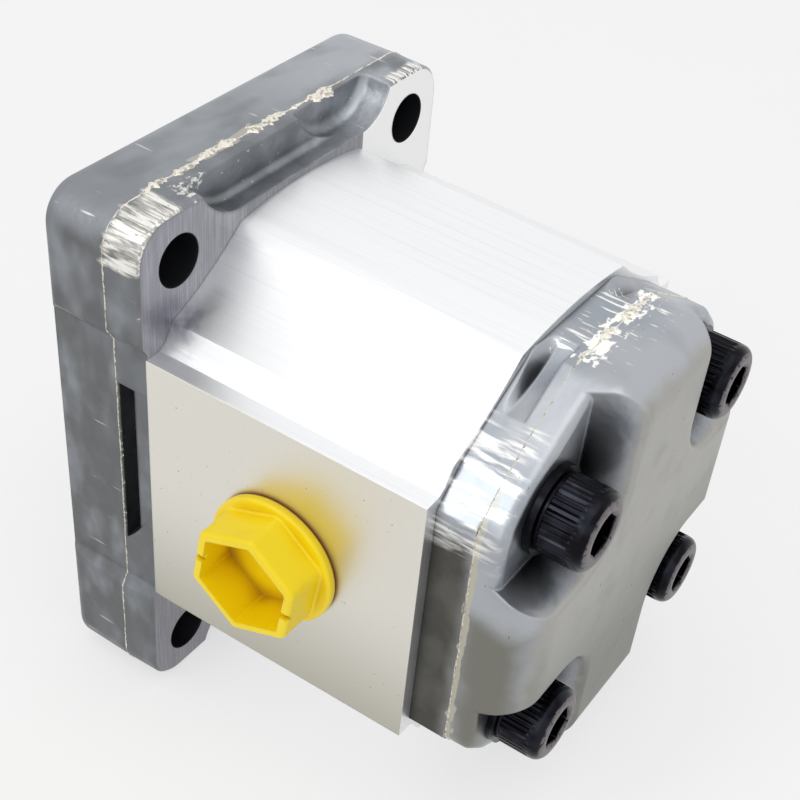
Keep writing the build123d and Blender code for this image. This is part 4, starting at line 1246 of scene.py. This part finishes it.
@dataclass
class Studio:
    """A pale floor under soft lamps, and a white surround that only the camera and mirrors see."""

    floor_z: float
    floor_colour: str = "#fafafa"
    floor_glow: float = 0.6
    floor_mottle: str = "#f6f6f6"
    floor_size: float = 6.0
    floor_gap: float = 0.0002
    ambient: float = 0.6
    aim: Triple = (0.0, 0.05, 0.02)
    # Each soft box's name, place in metres, width in metres and power in watts.
    lamps: tuple[tuple[str, Triple, float, float], ...] = (
        ("overhead_lamp", (0.1, 0.25, 0.95), 0.9, 1.9),
        ("side_lamp", (0.95, 0.1, 0.45), 0.7, 1.0),
        ("edge_lamp", (0.74, -0.29, 0.76), 0.3, 1.2),
    )

    def build(self) -> None:
        """Builds floor, lamps and surround."""
        self._build_floor()
        self._build_world()
        for lamp in self.lamps:
            self._add_lamp(*lamp)
        LOG.info("studio: floor at %.1f mm", self.floor_z / MM)

    def _build_floor(self) -> None:
        """Lays the floor under the object."""
        mesh = bmesh.new()
        bmesh.ops.create_grid(mesh, x_segments=1, y_segments=1, size=self.floor_size / 2)
        bmesh.ops.translate(mesh, verts=mesh.verts, vec=(0, 0, self.floor_z - self.floor_gap))
        data = bpy.data.meshes.new("studio_floor")
        mesh.to_mesh(data)
        mesh.free()
        skin = Skin("painted_studio_floor", self.floor_colour, 0.8, 0.0)
        skin.lay(self.floor_mottle, 0.85, skin.grains(40.0, 2.0, 1.0, 0.3, 0.9, 0.3))
        painted = skin.done()
        self._whiten(painted.node_tree, skin.shader)
        data.materials.append(painted)
        floor = bpy.data.objects.new("studio_floor", data)
        bpy.context.scene.collection.objects.link(floor)
        floor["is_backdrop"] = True

    def _seen(self, tree: NodeTree) -> NodeSocket:
        """Tells rays of the camera, of mirrors and of glass from the rest.

        Args:
            tree: The node tree that gets the nodes.

        Returns:
            1 for those rays, and 0 for the rest.
        """
        rays = add_node(tree, "ShaderNodeLightPath").outputs
        seen = rays["Is Camera Ray"]
        for name in ("Is Glossy Ray", "Is Transmission Ray"):
            seen = add_node(tree, "ShaderNodeMath", {0: seen, 1: rays[name]}, operation="MAXIMUM").outputs[0]
        return seen

    def _whiten(self, tree: NodeTree, shader: Node) -> None:
        """Mixes white into the floor as it is seen, so that only the object's shadow stays on it.

        Args:
            tree: The floor material's node tree.
            shader: The floor's own shader.
        """
        glow = add_node(tree, "ShaderNodeEmission", {"Color": (1, 1, 1, 1), "Strength": 1.0})
        share = add_node(tree, "ShaderNodeMath", {0: self._seen(tree), 1: self.floor_glow}, operation="MULTIPLY")
        mixed = add_node(tree, "ShaderNodeMixShader", {0: share.outputs[0], 1: shader.outputs[0], 2: glow.outputs[0]})
        tree.links.new(mixed.outputs[0], tree.nodes["Material Output"].inputs["Surface"])

    def _build_world(self) -> None:
        """Makes the surround white to the camera and to mirrors, and soft light to the rest."""
        world = bpy.data.worlds.new("white_surround")
        bpy.context.scene.world = world
        world.use_nodes = True
        tree = world.node_tree
        tree.nodes.clear()
        soft, white = (
            add_node(tree, "ShaderNodeBackground", {"Color": (1, 1, 1, 1), "Strength": strength}).outputs[0]
            for strength in (self.ambient, 1.0)
        )
        mixed = add_node(tree, "ShaderNodeMixShader", {0: self._seen(tree), 1: soft, 2: white})
        add_node(tree, "ShaderNodeOutputWorld", {"Surface": mixed.outputs[0]})

    def _add_lamp(self, name: str, place: Triple, width: float, power: float) -> None:
        """Hangs a square soft box that points at the object.

        Args:
            name: The lamp's name.
            place: Where it hangs, in metres.
            width: Width of the soft box, in metres.
            power: Its power in watts.
        """
        lamp = bpy.data.lights.new(name, "AREA")
        lamp.shape, lamp.size, lamp.energy = "SQUARE", width, power
        holder = bpy.data.objects.new(name, lamp)
        holder.location = place
        holder.rotation_mode = "QUATERNION"
        holder.rotation_quaternion = (Vector(self.aim) - Vector(place)).to_track_quat("-Z", "Y")
        bpy.context.scene.collection.objects.link(holder)


@dataclass
class Viewpoint:
    """The camera, at the photograph's angle."""

    place: Triple = (0.208493, 0.175399, 0.219458)
    azimuth: float = 115.174
    elevation: float = 42.284
    roll: float = 9.807
    lens: float = 67.904
    sensor: float = 36.0
    shift: tuple[float, float] = (-0.12977, 0.13545)
    clip: tuple[float, float] = (0.01, 20.0)

    def build(self) -> None:
        """Makes the camera and the scene's camera of it."""
        data = bpy.data.cameras.new("viewpoint")
        data.lens = self.lens
        data.sensor_width = self.sensor
        data.shift_x, data.shift_y = self.shift
        data.clip_start, data.clip_end = self.clip
        camera = bpy.data.objects.new("viewpoint", data)
        bpy.context.scene.collection.objects.link(camera)
        turn, rise, roll = (radians(a) for a in (self.azimuth, self.elevation, self.roll))
        back = Vector((sin(turn) * cos(rise), -cos(turn) * cos(rise), sin(rise)))
        level = (-back).cross(Vector((0, 0, 1))).normalized()
        upright = back.cross(level)
        right = level * cos(roll) + upright * sin(roll)
        up = back.cross(right)
        camera.matrix_world = Matrix.Translation(self.place) @ Matrix((right, up, back)).transposed().to_4x4()
        bpy.context.scene.camera = camera
        LOG.info("camera: lens %.1f mm", self.lens)


def corners() -> list[list[float]]:
    """Lists the lowest and highest corner of what is shown."""
    return [list(corner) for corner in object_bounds()]


def main() -> None:
    """Builds the dressed pump, the studio and the camera."""
    logging.basicConfig(level=logging.INFO, format="%(message)s")
    bpy.context.scene.view_settings.view_transform = "Standard"
    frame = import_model()
    cad_box = corners()
    shop = Workshop(frame, make_finishes())
    shop.dress()
    for part in (CapScrews(), ShaftEnd(), ThreadedPorts()):
        part.build(shop)
    flash = FlashMetal().material()
    seams = (
        PartingFlash(
            "flange_parting_flash", "front_flange", Slot.CAST_FLANGE, 15.0, 14.9, ((-22.0, 70.0), (36.0, 90.0))
        ),
        PartingFlash(
            "cover_parting_flash", "rear_cover", Slot.CAST_COVER, 93.0, 93.1, ((-16.0, 60.0), (14.0, 80.0)), seed=20.0
        ),
    )
    for seam in seams:
        seam.build(shop, flash)
    Studio(floor_z=cad_box[0][2]).build()
    Viewpoint().build()


if __name__ == "__main__":
    main()
